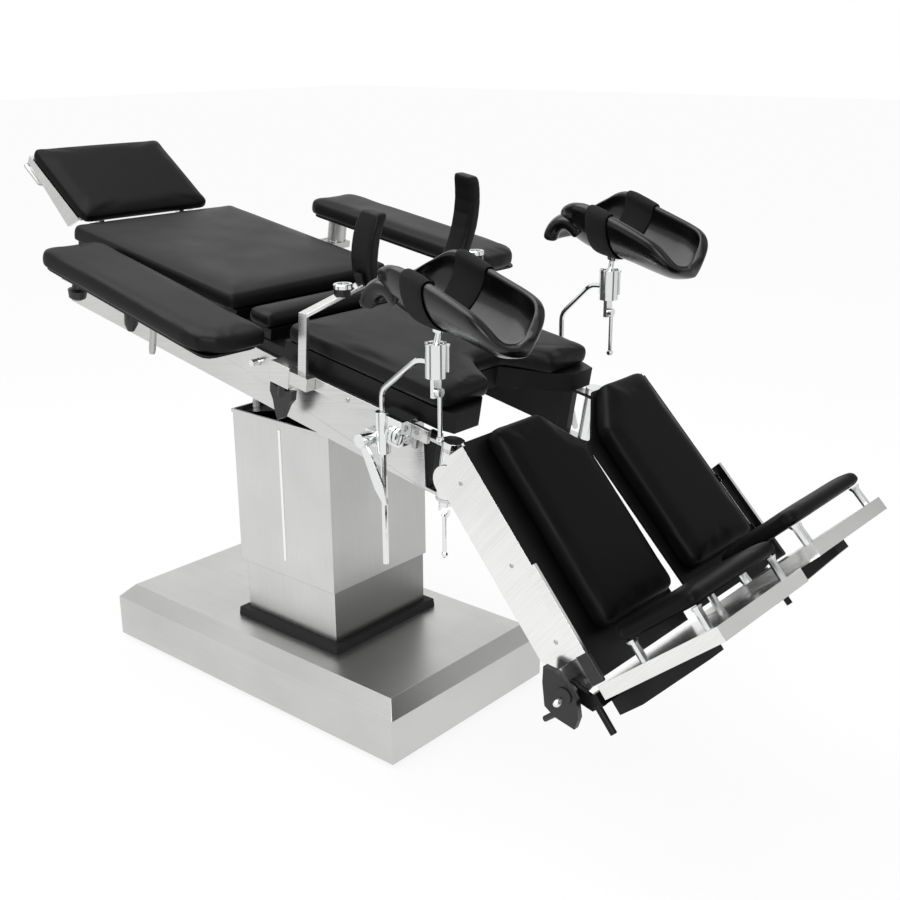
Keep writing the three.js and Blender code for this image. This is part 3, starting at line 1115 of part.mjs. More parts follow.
function makeFootBoard(frame, label, side, band) {
  const sheet = footPlate;
  const sheetBack = sheet.face + sheet.thickness;
  const foldEnd = sheet.face + sheet.fold;
  const [plateLow, plateHigh] = band(sheet.inner, sheet.outer);
  const face = box([sheet.face, plateLow, sheet.low], [sheetBack, plateHigh, sheet.high]);
  const folds = [
    box([sheet.face, plateLow, sheet.high - sheet.thickness], [foldEnd, plateHigh, sheet.high]),
    box([sheet.face, plateLow, sheet.low], [foldEnd, plateLow + sheet.thickness, sheet.high]),
    box([sheet.face, plateHigh - sheet.thickness, sheet.low], [foldEnd, plateHigh, sheet.high]),
  ];
  const padBack = footPad.face + footPad.thickness + gap;
  const posts = [];
  for (const y of [footPad.inner + footPost.inset, footPad.outer - footPost.inset]) {
    for (const c of [footPad.low + footPost.inset, footPad.high - footPost.inset]) {
      const flareEnd = padBack + footPost.flareLength;
      const rodEnd = sheet.face + sheet.thickness / 2;
      posts.push(rod(footPost.flare, [padBack, side * y, c], [flareEnd, side * y, c], tubeSides,
          footPost.radius));
      posts.push(rod(footPost.radius, [flareEnd - gap, side * y, c], [rodEnd, side * y, c], tubeSides));
    }
  }
  const bracket = footBracket;
  const [webLow, webHigh] = band(bracket.inner, bracket.outer);
  const spine = sideSlab([
    [sheetBack - gap, bracket.high], [bracket.tip, bracket.high], [bracket.depth, bracket.bendC],
    [bracket.depth, bracket.low], [bracket.lowA, bracket.low], [sheetBack - gap, sheet.low],
  ], webLow, webHigh);
  const armBand = band(footArm.inner, footArm.outer);
  const swing = sideSlab([
    [footHinge.a, footHinge.c + footHinge.washer], [footArm.end, footArm.high],
    [footArm.end, footArm.linkLow],
    [footHinge.a, footHinge.c - footHinge.washer],
  ], ...armBand);
  const eye = rod(footHinge.washer, [footHinge.a, armBand[0], footHinge.c],
      [footHinge.a, armBand[1], footHinge.c]);
  const linkBand = band(bracket.outer - cut, footArm.outer);
  const link = box(
    [footArm.linkStart, linkBand[0], footArm.linkLow], [footArm.end, linkBand[1], footArm.linkHigh]);
  const reach = band(legHeel.inner, footKnob.inner - gap);
  const pin = rod(footHinge.pin, [footHinge.a, reach[0], footHinge.c], [footHinge.a, reach[1], footHinge.c]);
  const armMiddle = side * (footArm.inner + footArm.outer) / 2;
  const stubC = (footArm.linkLow + footArm.linkHigh) / 2;
  const stub = rod(footPin.stub, [footArm.end - cut, armMiddle, stubC], [footPin.stubEnd, armMiddle, stubC]);
  const carrier = join(spine, swing, eye, link);
  addMesh(frame, `foot_plate_${label}`, "steel", join(face, ...folds, ...posts, carrier, pin, stub));

  const corners = rectangle(footPad.low, side * footPad.inner, footPad.high, side * footPad.outer,
      footPad.corner);
  const padSolid = cushion(corners, 0, footPad.thickness);
  addTurnedPad(frame, `foot_pad_${label}`, padSolid);

  const knob = footKnob;
  const knobBand = band(knob.inner, knob.outer);
  const hub = rod(knob.hub, [footHinge.a, knobBand[0], footHinge.c], [footHinge.a, knobBand[1], footHinge.c]);
  const wingBand = band(knob.y - knob.thickness / 2, knob.y + knob.thickness / 2);
  const wings = sideSlab(knobWings.map(([a, c]) => [footHinge.a + a, footHinge.c + c]), ...wingBand);
  const grip = rod(
    footPin.radius, [footPin.a, side * knob.y, footPin.top], [footPin.a, side * knob.y, footPin.bottom],
    tubeSides);
  addMesh(frame, `foot_knob_${label}`, "black", join(hub, wings, grip));
}

// The foot pad is made lying flat and then stood up with its crown facing the leg.
function addTurnedPad(frame, name, solid) {
  const stand = new THREE.Group();
  stand.position.set(footPad.face + footPad.thickness, 0, 0);
  stand.rotation.y = -Math.PI / 2;
  frame.add(stand);
  addMesh(stand, name, "leather", solid);
}

makeBaseFrame();
makeBaseCover();
makeGasket();
makeSleeves();
makeLiftRam();
makeCradle();
makeSeat();
makeSidePlate("side_plate_near", -1);
makeSidePlate("side_plate_far", 1);
makeRail("rail_near", -1);
makeRail("rail_far", 1);
makeBack();
makeBridge();
makeHead();
makeArm("near", -1, armNear);
makeArm("far", 1, armFar);
makeLateral("near", -1);
makeLateral("far", 1);
makeCrutch("near", -1, crutchNear);
makeCrutch("far", 1, crutchFar);
makeLeg("near", -1, legNearDeg);
makeLeg("far", 1, legFarDeg);

// The origin goes to the floor under the middle of the whole table.
table.updateMatrixWorld(true);
const bounds = new THREE.Box3().setFromObject(table, true);
const middle = bounds.getCenter(new THREE.Vector3());
table.position.set(-middle.x, -middle.y, -bounds.min.z);
table.updateMatrixWorld(true);

export default table;
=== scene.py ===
import json
import math
import bmesh
import bpy
from mathutils import Matrix, Vector


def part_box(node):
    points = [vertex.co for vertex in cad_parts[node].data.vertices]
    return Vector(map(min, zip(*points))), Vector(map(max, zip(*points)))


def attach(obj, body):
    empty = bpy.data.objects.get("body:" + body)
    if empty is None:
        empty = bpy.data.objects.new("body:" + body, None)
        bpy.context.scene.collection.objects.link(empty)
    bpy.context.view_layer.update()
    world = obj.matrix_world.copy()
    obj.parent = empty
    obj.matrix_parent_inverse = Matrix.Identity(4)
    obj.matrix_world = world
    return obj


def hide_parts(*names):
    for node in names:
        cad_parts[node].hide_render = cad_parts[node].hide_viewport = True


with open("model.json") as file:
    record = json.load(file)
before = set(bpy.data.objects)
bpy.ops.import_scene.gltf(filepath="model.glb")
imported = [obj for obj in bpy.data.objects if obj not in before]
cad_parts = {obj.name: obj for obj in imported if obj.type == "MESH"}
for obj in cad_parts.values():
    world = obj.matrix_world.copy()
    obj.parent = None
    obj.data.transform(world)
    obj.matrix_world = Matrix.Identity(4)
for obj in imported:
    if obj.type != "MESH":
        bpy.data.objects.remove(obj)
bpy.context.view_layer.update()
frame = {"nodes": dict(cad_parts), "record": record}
nodes = frame["nodes"]
bodies = frame["record"]["behaviour"]["bodies"]
bodyOf = {node: body for body, members in bodies.items() for node in members}
slotOf = {part["node"]: part["material_slot"] for part in frame["record"]["subparts"]}
collection = bpy.context.scene.collection
mm = 0.001
sides = {"near": -1, "far": 1}
print("frame loaded:", len(nodes), "nodes")

# Places: each frame takes millimetres of its own section to metres of the room.

coverLow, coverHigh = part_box("base_cover")
floorCentre = Vector(((coverLow.x + coverHigh.x) / 2, (coverLow.y + coverHigh.y) / 2, 0))


def frameAt(x, y, z, pitch=0.0, yaw=0.0):
    turn = Matrix.Rotation(math.radians(yaw), 4, "Z") @ Matrix.Rotation(math.radians(pitch), 4, "Y")
    place = Matrix.Translation(floorCentre + Vector((x, y, z)) * mm)
    return place @ turn @ Matrix.Scale(mm, 4)


tilts = {"table": 9.62, "head": 36.8, "near": 49.7, "far": 45.4, "crutch": 12.0}
seatLevel = 1009.3
roomFrame = frameAt(0, 0, 0)
tableFrame = frameAt(0, 0, seatLevel, tilts["table"])
headFrame = frameAt(-588, 0, 1115, tilts["head"])
armFrames = {"near": frameAt(-133, -357, 1020, 12, -1), "far": frameAt(-65, 440, 1077, 9.2)}
crutchFrames = {
    "near": frameAt(661, -300, 985, tilts["crutch"]),
    "far": frameAt(645, 300, 1036, tilts["crutch"]),
}


# A leg turns on an axle of the table (x and z of the table's frame); its frame starts off that axle.
def legFrameAt(pitch, axle=(735, -150), offset=(-38.6, 128.4)):
    tilt = math.radians(tilts["table"])
    lean = math.radians(pitch)
    x = axle[0] * math.cos(tilt) + axle[1] * math.sin(tilt)
    z = seatLevel - axle[0] * math.sin(tilt) + axle[1] * math.cos(tilt)
    x += offset[0] * math.cos(lean) + offset[1] * math.sin(lean)
    z += -offset[0] * math.sin(lean) + offset[1] * math.cos(lean)
    return frameAt(x, 0, z, pitch)


legFrames = {label: legFrameAt(tilts[label]) for label in sides}


def turnOf(place):
    return place.to_3x3().normalized().to_4x4()


# Materials

def linear(hexColour):
    shares = [int(hexColour[start:start + 2], 16) / 255 for start in (1, 3, 5)]
    parts = [share / 12.92 if share <= 0.04045 else ((share + 0.055) / 1.055) ** 2.4 for share in shares]
    return (*parts, 1.0)


def addNode(tree, kind, inputs=None, **settings):
    node = tree.nodes.new(kind)
    for name, value in settings.items():
        setattr(node, name, value)
    for key, value in (inputs or {}).items():
        if isinstance(value, bpy.types.NodeSocket):
            tree.links.new(value, node.inputs[key])
        else:
            node.inputs[key].default_value = value
    return node


def newMaterial(name, colour, metallic, roughness, specular=0.5):
    material = bpy.data.materials.new(name)
    material.use_nodes = True
    tree = material.node_tree
    tree.nodes.clear()
    shader = addNode(tree, "ShaderNodeBsdfPrincipled", {
        "Base Color": linear(colour), "Metallic": metallic, "Roughness": roughness,
        "Specular IOR Level": specular,
    })
    addNode(tree, "ShaderNodeOutputMaterial", {"Surface": shader.outputs["BSDF"]})
    material.diffuse_color = linear(colour)
    return material, tree, shader


def grainCoords(tree, turn, scale):
    spot = addNode(tree, "ShaderNodeTexCoord")
    laid = addNode(tree, "ShaderNodeMapping", {
        "Vector": spot.outputs["Object"], "Rotation": [math.radians(angle) for angle in turn]})
    return addNode(tree, "ShaderNodeMapping", {"Vector": laid.outputs["Vector"], "Scale": scale})


def noise(tree, turn, scale, detail):
    return addNode(tree, "ShaderNodeTexNoise", {
        "Vector": grainCoords(tree, turn, scale).outputs["Vector"], "Scale": 1.0, "Detail": detail})


def addBump(tree, shader, height, strength, distance):
    bump = addNode(tree, "ShaderNodeBump", {"Height": height, "Strength": strength, "Distance": distance})
    tree.links.new(bump.outputs["Normal"], shader.inputs["Normal"])


def levels(tree, value, low, high, fromLow=0.3, fromHigh=0.7):
    return addNode(tree, "ShaderNodeMapRange", {
        "Value": value, "From Min": fromLow, "From Max": fromHigh, "To Min": low, "To Max": high})


def blendColours(tree, factor, first, second):
    mix = addNode(tree, "ShaderNodeMix", {"Factor": factor}, data_type="RGBA")
    mix.inputs[6].default_value = linear(first)
    mix.inputs[7].default_value = linear(second)
    return mix.outputs[2]


# Stainless sheet, ground with a belt: long fine scratches along one way that stretch every reflection.
def brushedStainless(name, turn, along, light, dark, roughness):
    material, tree, shader = newMaterial(name, light, 1.0, roughness)
    # Belt scratches are about 0.2 mm wide; drawn 1 mm wide and 150 mm long, so that they show.
    fine = [1 / 0.15 if axis == along else 1 / 0.001 for axis in "xyz"]
    scratches = noise(tree, turn, fine, 2.0)
    # Sheets are handled and wiped, which leaves clouds about 200 mm wide.
    clouds = noise(tree, turn, [1 / 0.2] * 3, 3.0)
    both = addNode(tree, "ShaderNodeMath", {0: scratches.outputs[0], 1: clouds.outputs[0]}, operation="ADD")
    tone = levels(tree, both.outputs[0], 0.0, 1.0, 0.7, 1.3)
    tree.links.new(blendColours(tree, tone.outputs[0], dark, light), shader.inputs["Base Color"])
    rough = levels(tree, both.outputs[0], roughness + 0.07, roughness - 0.05, 0.7, 1.3)
    tree.links.new(rough.outputs[0], shader.inputs["Roughness"])
    addBump(tree, shader, scratches.outputs[0], 0.03, 0.0002)
    return material


# Chromed steel, turned and polished: sharp bright reflections, a little cloudy where hands wear it.
def polishedChrome(name, colour, roughness):
    material, tree, shader = newMaterial(name, colour, 1.0, roughness)
    # Finger haze in patches of about 15 mm.
    haze = noise(tree, (0, 0, 0), [1 / 0.015] * 3, 3.0)
    rough = levels(tree, haze.outputs[0], roughness - 0.03, roughness + 0.08)
    tree.links.new(rough.outputs[0], shader.inputs["Roughness"])
    # Lathe marks of about 0.6 mm left under the plating, drawn 1.6 mm wide.
    marks = noise(tree, (0, 0, 0), [1 / 0.0016] * 3, 1.0)
    addBump(tree, shader, marks.outputs[0], 0.06, 0.0002)
    return material


# A grained or cast skin: one noise for the relief, one for the uneven colour.
def grainedSkin(name, colour, worn, roughness, grain, relief, patches, specular=0.5, metallic=0.0):
    material, tree, shader = newMaterial(name, colour, metallic, roughness, specular)
    cells = addNode(tree, "ShaderNodeTexVoronoi", {
        "Vector": grainCoords(tree, (0, 0, 0), [1 / grain] * 3).outputs["Vector"], "Scale": 1.0},
        feature="SMOOTH_F1")
    uneven = noise(tree, (0, 0, 0), [1 / patches] * 3, 3.0)
    tone = levels(tree, uneven.outputs[0], 0.0, 1.0)
    tree.links.new(blendColours(tree, tone.outputs[0], colour, worn), shader.inputs["Base Color"])
    rough = levels(tree, uneven.outputs[0], roughness - 0.04, roughness + 0.06)
    tree.links.new(rough.outputs[0], shader.inputs["Roughness"])
    addBump(tree, shader, cells.outputs["Distance"], relief, 0.0005)
    return material, shader


# Woven nylon tape: matt crossed threads, laid on the strap's own UV map, which is in millimetres.
# Real threads are about 1 mm wide; the caller says how wide they are drawn.
def nylonWebbing(name, colour, thread):
    material, tree, shader = newMaterial(name, colour, 0.0, 0.75, 0.3)
    laid = addNode(tree, "ShaderNodeUVMap", uv_map="tape")
    scaled = addNode(tree, "ShaderNodeMapping", {
        "Vector": laid.outputs["UV"], "Scale": [math.pi / thread] * 3})
    warp, weft = (addNode(tree, "ShaderNodeTexWave", {
        "Vector": scaled.outputs["Vector"], "Scale": 0.32, "Distortion": 0.4}, bands_direction=way)
        for way in "XY")
    both = addNode(tree, "ShaderNodeMath", {0: warp.outputs[1], 1: weft.outputs[1]}, operation="ADD")
    tone = levels(tree, both.outputs[0], 0.0, 1.0, 0.2, 1.6)
    tree.links.new(blendColours(tree, tone.outputs[0], "#070707", colour), shader.inputs["Base Color"])
    addBump(tree, shader, both.outputs[0], 0.6, 0.0006)
    return material


# Each sheet is the same ground stainless; turn and axis say which way its scratches run.
# The base is the dullest, since it is wiped most.
baseSteel = brushedStainless("stainless_base_cover", (0, 0, 0), "x", "#cfcfce", "#c6c6c5", 0.36)
columnSteel = brushedStainless("stainless_column_cover", (0, 0, 0), "z", "#d6d6d5", "#cecdcd", 0.32)
plateSteel = brushedStainless("stainless_side_plate", (0, tilts["table"], 0), "x", "#dadad9", "#cfcfce", 0.30)
headSteel = brushedStainless("stainless_head_frame", (0, tilts["head"], 0), "x", "#d6d6d5", "#c6c6c5", 0.26)
# Painted light: the leg sheets are a lighter copy of the same stainless, for how they face the light, and are
# ground smoother.
litLegSteels = {
    label: brushedStainless(
        f"stainless_leg_sheet_painted_light_{label}", (0, tilts[label], 0), "x", "#f0f0ef", "#e4e4e3", 0.22)
    for label in sides}
# Drawn flat bar: smoother than sheet, with a sharper shine.
railSteel = brushedStainless("stainless_flat_bar", (0, tilts["table"], 0), "x", "#dededd", "#c9c9c8", 0.2)
# Plated rods, clamps and posts, bright enough to mirror the room.
chrome = polishedChrome("chromed_steel", "#e4e6e6", 0.09)
# Turned stainless of screws and pins, grey and soft.
satinSteel = polishedChrome("satin_turned_steel", "#b9b9b8", 0.28)
# Painted shade: the column's faces to the foot end are a shade darker, and the lower sleeve's face there, a
# painted reflection of the dark base, darker still.
columnShadeSteel = brushedStainless("stainless_column_painted_shade", (0, 0, 0), "z", "#bcbcbb", "#b6b6b5", 0.32)
columnDeepShadeSteel = brushedStainless("stainless_column_painted_deep_shade", (0, 0, 0), "z", "#949493", "#8d8d8c", 0.34)
# A polished strip, the lightest line on the column.
trimSteel = polishedChrome("polished_seam_strip", "#f6f6f6", 0.25)
# Sand-cast iron under black paint: matt, with a pitted face.
castIron, _ = grainedSkin("painted_cast_iron", "#0d0d0d", "#151515", 0.6, 0.003, 0.25, 0.05)
# Epoxy powder baked on sheet: even satin black with orange peel of about 1.5 mm.
powderCoat, _ = grainedSkin("black_powder_coat", "#060607", "#0a0a0b", 0.42, 0.0015, 0.12, 0.08, 0.25)
# EPDM rubber strip: dull, dusty black.
rubber, _ = grainedSkin("epdm_rubber", "#0b0b0b", "#151515", 0.72, 0.002, 0.15, 0.03)
# Moulded polyurethane pad skin with a fine hide grain, drawn 2 mm wide where the real one is 0.8 mm.
padSkin, _ = grainedSkin("polyurethane_pad_skin", "#0f0f10", "#151516", 0.40, 0.002, 0.16, 0.12, 0.14)
# Painted shade: the head, leg and foot pads get a darker copy of the skin, as they face away from the main
# light; it is also matter.
shadedPadSkin, _ = grainedSkin("polyurethane_pad_skin_painted_shade", "#050506", "#080809", 0.46, 0.002, 0.14, 0.12, 0.11)
# Convoluted PVC hose with a pale plasticised surface.
hosePvc, _ = grainedSkin("pale_convoluted_pvc", "#d2d2d1", "#dededd", 0.38, 0.004, 0.05, 0.03)
# Integral-skin urethane of the knee troughs: smooth, glossy, faintly wavy from the mould.
troughSkin, troughShader = grainedSkin(
    "gloss_urethane_skin", "#060607", "#0a0a0c", 0.26, 0.012, 0.04, 0.06, 0.3)
troughShader.inputs["Coat Weight"].default_value = 0.22
troughShader.inputs["Coat Roughness"].default_value = 0.12
# Glass-filled nylon of the knobs: satin, with a faint moulding bloom.
knobNylon, _ = grainedSkin("moulded_black_nylon", "#0c0c0d", "#171718", 0.34, 0.0012, 0.1, 0.02)
webbing = nylonWebbing("black_nylon_webbing", "#0e0e0f", 1.6)
print("materials ready:", len(bpy.data.materials))


# Mesh helpers

sharpFrom = {"edges": 32.0, "screws": 35, "turned": 38}  # degrees
merging = {"reach": 0.00003, "flat": 0.4}  # metres, degrees


def newPiece(name, mesh):
    piece = bpy.data.objects.new(name, mesh)
    collection.objects.link(piece)
    return piece


def carry(piece, body, slot, *replaced):
    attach(piece, body)
    if replaced:
        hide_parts(*replaced)
    return piece


def meshFrom(shape, name):
    mesh = bpy.data.meshes.new(name)
    shape.to_mesh(mesh)
    shape.free()
    return mesh


# Low and high y of what lies between two distances from the middle, on one side of the table.
def band(side, inner, outer):
    return sorted((side * inner, side * outer))


# The piece's mesh as its modifiers leave it, in place of the modifiers.
def settle(piece):
    bpy.context.view_layer.update()
    graph = bpy.context.evaluated_depsgraph_get()
    made = bpy.data.meshes.new_from_object(piece.evaluated_get(graph), depsgraph=graph)
    piece.modifiers.clear()
    old = piece.data
    piece.data = made
    bpy.data.meshes.remove(old)
    return made


def shadeSharp(mesh, kind):
    mesh.shade_smooth()
    mesh.set_sharp_from_angle(angle=math.radians(sharpFrom[kind]))


def roundEdges(piece, width):
    shadeSharp(piece.data, "edges")
    bevel = piece.modifiers.new("edges", "BEVEL")
    bevel.width = width * mm
    bevel.segments = 2
    bevel.limit_method = "ANGLE"
    bevel.angle_limit = math.radians(sharpFrom["edges"])
    bevel.harden_normals = True
    bevel.use_clamp_overlap = True
    settle(piece)


def subdivide(piece, name, times):
    smooth = piece.modifiers.new(name, "SUBSURF")
    smooth.levels = times
    smooth.render_levels = times


# A CAD node's mesh comes as loose triangles, so a copy is merged before anything else.
def cleanCopy(node, name):
    mesh = nodes[node].data.copy()
    mesh.materials.clear()
    for layer in ("custom_normal", "sharp_edge", "sharp_face"):
        if layer in mesh.attributes:
            mesh.attributes.remove(mesh.attributes[layer])
    shape = bmesh.new()
    shape.from_mesh(mesh)
    bmesh.ops.remove_doubles(shape, verts=shape.verts, dist=merging["reach"])
    bmesh.ops.dissolve_limit(
        shape, angle_limit=math.radians(merging["flat"]), verts=shape.verts, edges=shape.edges)
    shape.to_mesh(mesh)
    shape.free()
    return newPiece(name, mesh)


# Region tests get each face's middle (mm) and normal in the section's own frame.
def paintRegions(piece, place, materials, choose):
    mesh = piece.data
    mesh.materials.clear()
    for material in materials:
        mesh.materials.append(material)
    back = place.inverted()
    turnBack = turnOf(place).inverted().to_3x3()
    for face in mesh.polygons:
        face.material_index = choose(back @ face.center, turnBack @ face.normal)


def dress(node, material, edge=0.8, place=None, others=(), choose=None):
    piece = cleanCopy(node, f"{node}_finish")
    if edge:
        roundEdges(piece, edge)
    else:
        shadeSharp(piece.data, "edges")
    if choose:
        paintRegions(piece, place, (material, *others), choose)
    else:
        piece.data.materials.clear()
        piece.data.materials.append(material)
    return carry(piece, bodyOf[node], slotOf[node], node)


# A turned piece from one point to another; its profile lists share of the length and radius in mm.
def turned(name, place, start, end, profile, material, count=28):
    first = place @ Vector(start)
    last = place @ Vector(end)
    along = last - first
    turn = along.to_track_quat("Z", "Y").to_matrix()
    shape = bmesh.new()
    rings = []
    for share, radius in profile:
        middle = first + along * share
        rings.append([shape.verts.new(middle + turn @ Vector((
            math.cos(math.tau * step / count), math.sin(math.tau * step / count), 0)) * radius * mm)
            for step in range(count)])
    for low, high in zip(rings, rings[1:]):
        for step in range(count):
            beside = (step + 1) % count
            shape.faces.new((low[step], low[beside], high[beside], high[step]))
    shape.faces.new(list(reversed(rings[0])))
    shape.faces.new(rings[-1])
    bmesh.ops.recalc_face_normals(shape, faces=shape.faces)
    mesh = meshFrom(shape, name)
    mesh.materials.append(material)
    shadeSharp(mesh, "turned")
    return newPiece(name, mesh)


# Folds another piece's mesh into this one.
def addMesh(piece, other):
    shape = bmesh.new()
    shape.from_mesh(piece.data)
    shape.from_mesh(other.data)
    shape.to_mesh(piece.data)
    shape.free()
    mesh = other.data
    bpy.data.objects.remove(other)
    bpy.data.meshes.remove(mesh)


# An outline in two of a section's axes, thickened along the third and softened at its edges.
def slab(name, place, outline, axes, low, high, material, edge=1.0):
    third = ({0, 1, 2} - set(axes)).pop()
    shape = bmesh.new()
    layers = []
    for level in (low, high):
        layer = []
        for pair in outline:
            spot = [0.0, 0.0, 0.0]
            spot[axes[0]] = pair[0]
            spot[axes[1]] = pair[1]
            spot[third] = level
            layer.append(shape.verts.new(place @ Vector(spot)))
        layers.append(layer)
    count = len(outline)
    shape.faces.new(layers[0])
    shape.faces.new(layers[1])
    for step in range(count):
        beside = (step + 1) % count
        shape.faces.new((layers[0][step], layers[0][beside], layers[1][beside], layers[1][step]))
    bmesh.ops.recalc_face_normals(shape, faces=shape.faces)
    mesh = meshFrom(shape, name)
    mesh.materials.append(material)
    piece = newPiece(name, mesh)
    roundEdges(piece, edge)
    return piece


# Steel and iron that keep the CAD's own shape, with softened edges.

dress("base_frame", castIron, 0.8)
dress("base_cover", baseSteel, 1.2)
dress("gasket", rubber, 1.5)


# The faces towards the foot end, which take the painted shade.
def paintedShadeFaces(spot, normal):
    return 1 if normal.x > 0.7 else 0


# The foot-end faces take the darker steel: painted shade.
dress("column_lower_cover", columnSteel, 1.5, roomFrame, (columnDeepShadeSteel,), paintedShadeFaces)
dress("column_upper_cover", columnSteel, 1.5, roomFrame, (columnShadeSteel,), paintedShadeFaces)

# The hose is one solid with the ram; what lies close to the hose's middle line is hose.
hose = {"x": -74, "y": -118, "reach": 12}


def hoseRegion(spot, normal):
    return 1 if math.hypot(spot.x - hose["x"], spot.y - hose["y"]) < hose["reach"] else 0


dress("lift_ram", castIron, 0, roomFrame, (hosePvc,), hoseRegion)
dress("tilt_cradle", castIron, 0)
dress("seat_pan", powderCoat, 0.8)
dress("back_pan", powderCoat, 0.8)
dress("bridge_plate", powderCoat, 0.8)
dress("bridge_crank", chrome, 0.6)
dress("head_frame", headSteel, 0.8)
print("body covers dressed")

# A lateral bar is bright up to its nut; the bracket from there to the pad is black.
neckEnd = 204


def barRegion(spot, normal):
    return 1 if abs(spot.y) < neckEnd else 0


# The far plate's inner face, seen over the seat, takes the black powder coat; the near plate's inner face
# stays steel.
plateInner = 246


def farPlateBlackFace(spot, normal):
    return 1 if normal.y < -0.7 and spot.y < plateInner else 0


dress("side_plate_near", plateSteel, 0.8)
dress("side_plate_far", plateSteel, 0.8, tableFrame, (powderCoat,), farPlateBlackFace)
for label in sides:
    dress(f"rail_{label}", railSteel, 0.8)
    dress(f"lateral_clamp_{label}", railSteel, 0.8)
    dress(f"lateral_bar_{label}", railSteel, 0.8, roomFrame, (powderCoat,), barRegion)
    dress(f"lateral_knob_{label}", knobNylon, 2.0)
    dress(f"rail_clamp_{label}", chrome, 0.8)
    dress(f"rail_lever_{label}", chrome, 1.5)
    dress(f"crutch_rod_{label}", chrome, 0)
    dress(f"ball_clamp_{label}", chrome, 0.8)
    dress(f"ball_lever_{label}", chrome, 0)
    dress(f"leg_post_{label}", chrome, 0.8)
    dress(f"leg_lever_{label}", chrome, 0)
    dress(f"arm_board_{label}", powderCoat, 0.8)
    dress(f"arm_bracket_{label}", satinSteel, 0.8)
    dress(f"foot_knob_{label}", knobNylon, 1.5)
print("fittings dressed")

# A leg's frame is one weldment: bright side sheet and rail outside, black floor and heel inside.
legSheetInner = 305


def legRegion(spot, normal):
    outside = abs(spot.y) > legSheetInner
    facesIn = normal.y * math.copysign(1, spot.y) < -0.5
    return 0 if outside and not facesIn else 1


# The foot plate's sheet is bright, its posts chromed, its bracket and inside black.
footLook = {
    "postEnd": 503, "postLow": 20, "sheetEnd": 534, "sheetLow": -60,
    "bracketInner": 213, "bracketOuter": 264, "bracketFrom": 510,
}


def footRegion(spot, normal):
    if spot.x < footLook["postEnd"] and spot.z > footLook["postLow"]:
        return 1
    besideBracket = footLook["bracketInner"] < abs(spot.y) < footLook["bracketOuter"]
    inBracket = besideBracket and spot.x > footLook["bracketFrom"]
    if inBracket or spot.x > footLook["sheetEnd"] or spot.z < footLook["sheetLow"]:
        return 2
    return 0


for label in sides:
    # The leg sheets take the lighter stainless: painted light.
    dress(f"leg_frame_{label}", litLegSteels[label], 0.8, legFrames[label], (powderCoat,), legRegion)
    dress(f"foot_plate_{label}", litLegSteels[label], 0.8, legFrames[label], (chrome, powderCoat), footRegion)
print("leg frames dressed")

# Screws and small fittings.

screwShape = {"sides": 18, "crown": 0.8, "sink": -0.7}


# One screw head with a sunk socket, put on every point and turned to the point's own facing.
def makeScrewTree():
    tree = bpy.data.node_groups.new("screw_heads", "GeometryNodeTree")
    tree.interface.new_socket("Geometry", in_out="INPUT", socket_type="NodeSocketGeometry")
    inputs = {"Radius": "Float", "Height": "Float", "Socket share": "Float", "Finish": "Material"}
    for name, kind in inputs.items():
        tree.interface.new_socket(name, in_out="INPUT", socket_type=f"NodeSocket{kind}")
    tree.interface.new_socket("Geometry", in_out="OUTPUT", socket_type="NodeSocketGeometry")
    start = addNode(tree, "NodeGroupInput")
    crown = addNode(tree, "ShaderNodeMath", {
        0: start.outputs["Radius"], 1: screwShape["crown"]}, operation="MULTIPLY")
    head = addNode(tree, "GeometryNodeMeshCone", {
        "Vertices": screwShape["sides"], "Radius Top": crown.outputs[0],
        "Radius Bottom": start.outputs["Radius"], "Depth": start.outputs["Height"]})
    rim = addNode(tree, "GeometryNodeExtrudeMesh", {
        "Mesh": head.outputs["Mesh"], "Selection": head.outputs["Top"], "Offset Scale": 0.0}, mode="FACES")
    mouth = addNode(tree, "GeometryNodeScaleElements", {
        "Geometry": rim.outputs["Mesh"], "Selection": rim.outputs["Top"],
        "Scale": start.outputs["Socket share"]})
    sink = addNode(tree, "ShaderNodeMath", {
        0: start.outputs["Height"], 1: screwShape["sink"]}, operation="MULTIPLY")
    bored = addNode(tree, "GeometryNodeExtrudeMesh", {
        "Mesh": mouth.outputs["Geometry"], "Selection": rim.outputs["Top"], "Offset Scale": sink.outputs[0]},
        mode="FACES")
    facing = addNode(tree, "GeometryNodeInputNamedAttribute", {"Name": "facing"}, data_type="FLOAT_VECTOR")
    turn = addNode(tree, "FunctionNodeAlignRotationToVector", {
        "Vector": facing.outputs["Attribute"]}, axis="Z")
    placed = addNode(tree, "GeometryNodeInstanceOnPoints", {
        "Points": start.outputs["Geometry"], "Instance": bored.outputs["Mesh"], "Rotation": turn.outputs[0]})
    real = addNode(tree, "GeometryNodeRealizeInstances", {"Geometry": placed.outputs[0]})
    painted = addNode(tree, "GeometryNodeSetMaterial", {
        "Geometry": real.outputs[0], "Material": start.outputs["Finish"]})
    addNode(tree, "NodeGroupOutput", {0: painted.outputs[0]})
    return tree


screwTree = makeScrewTree()


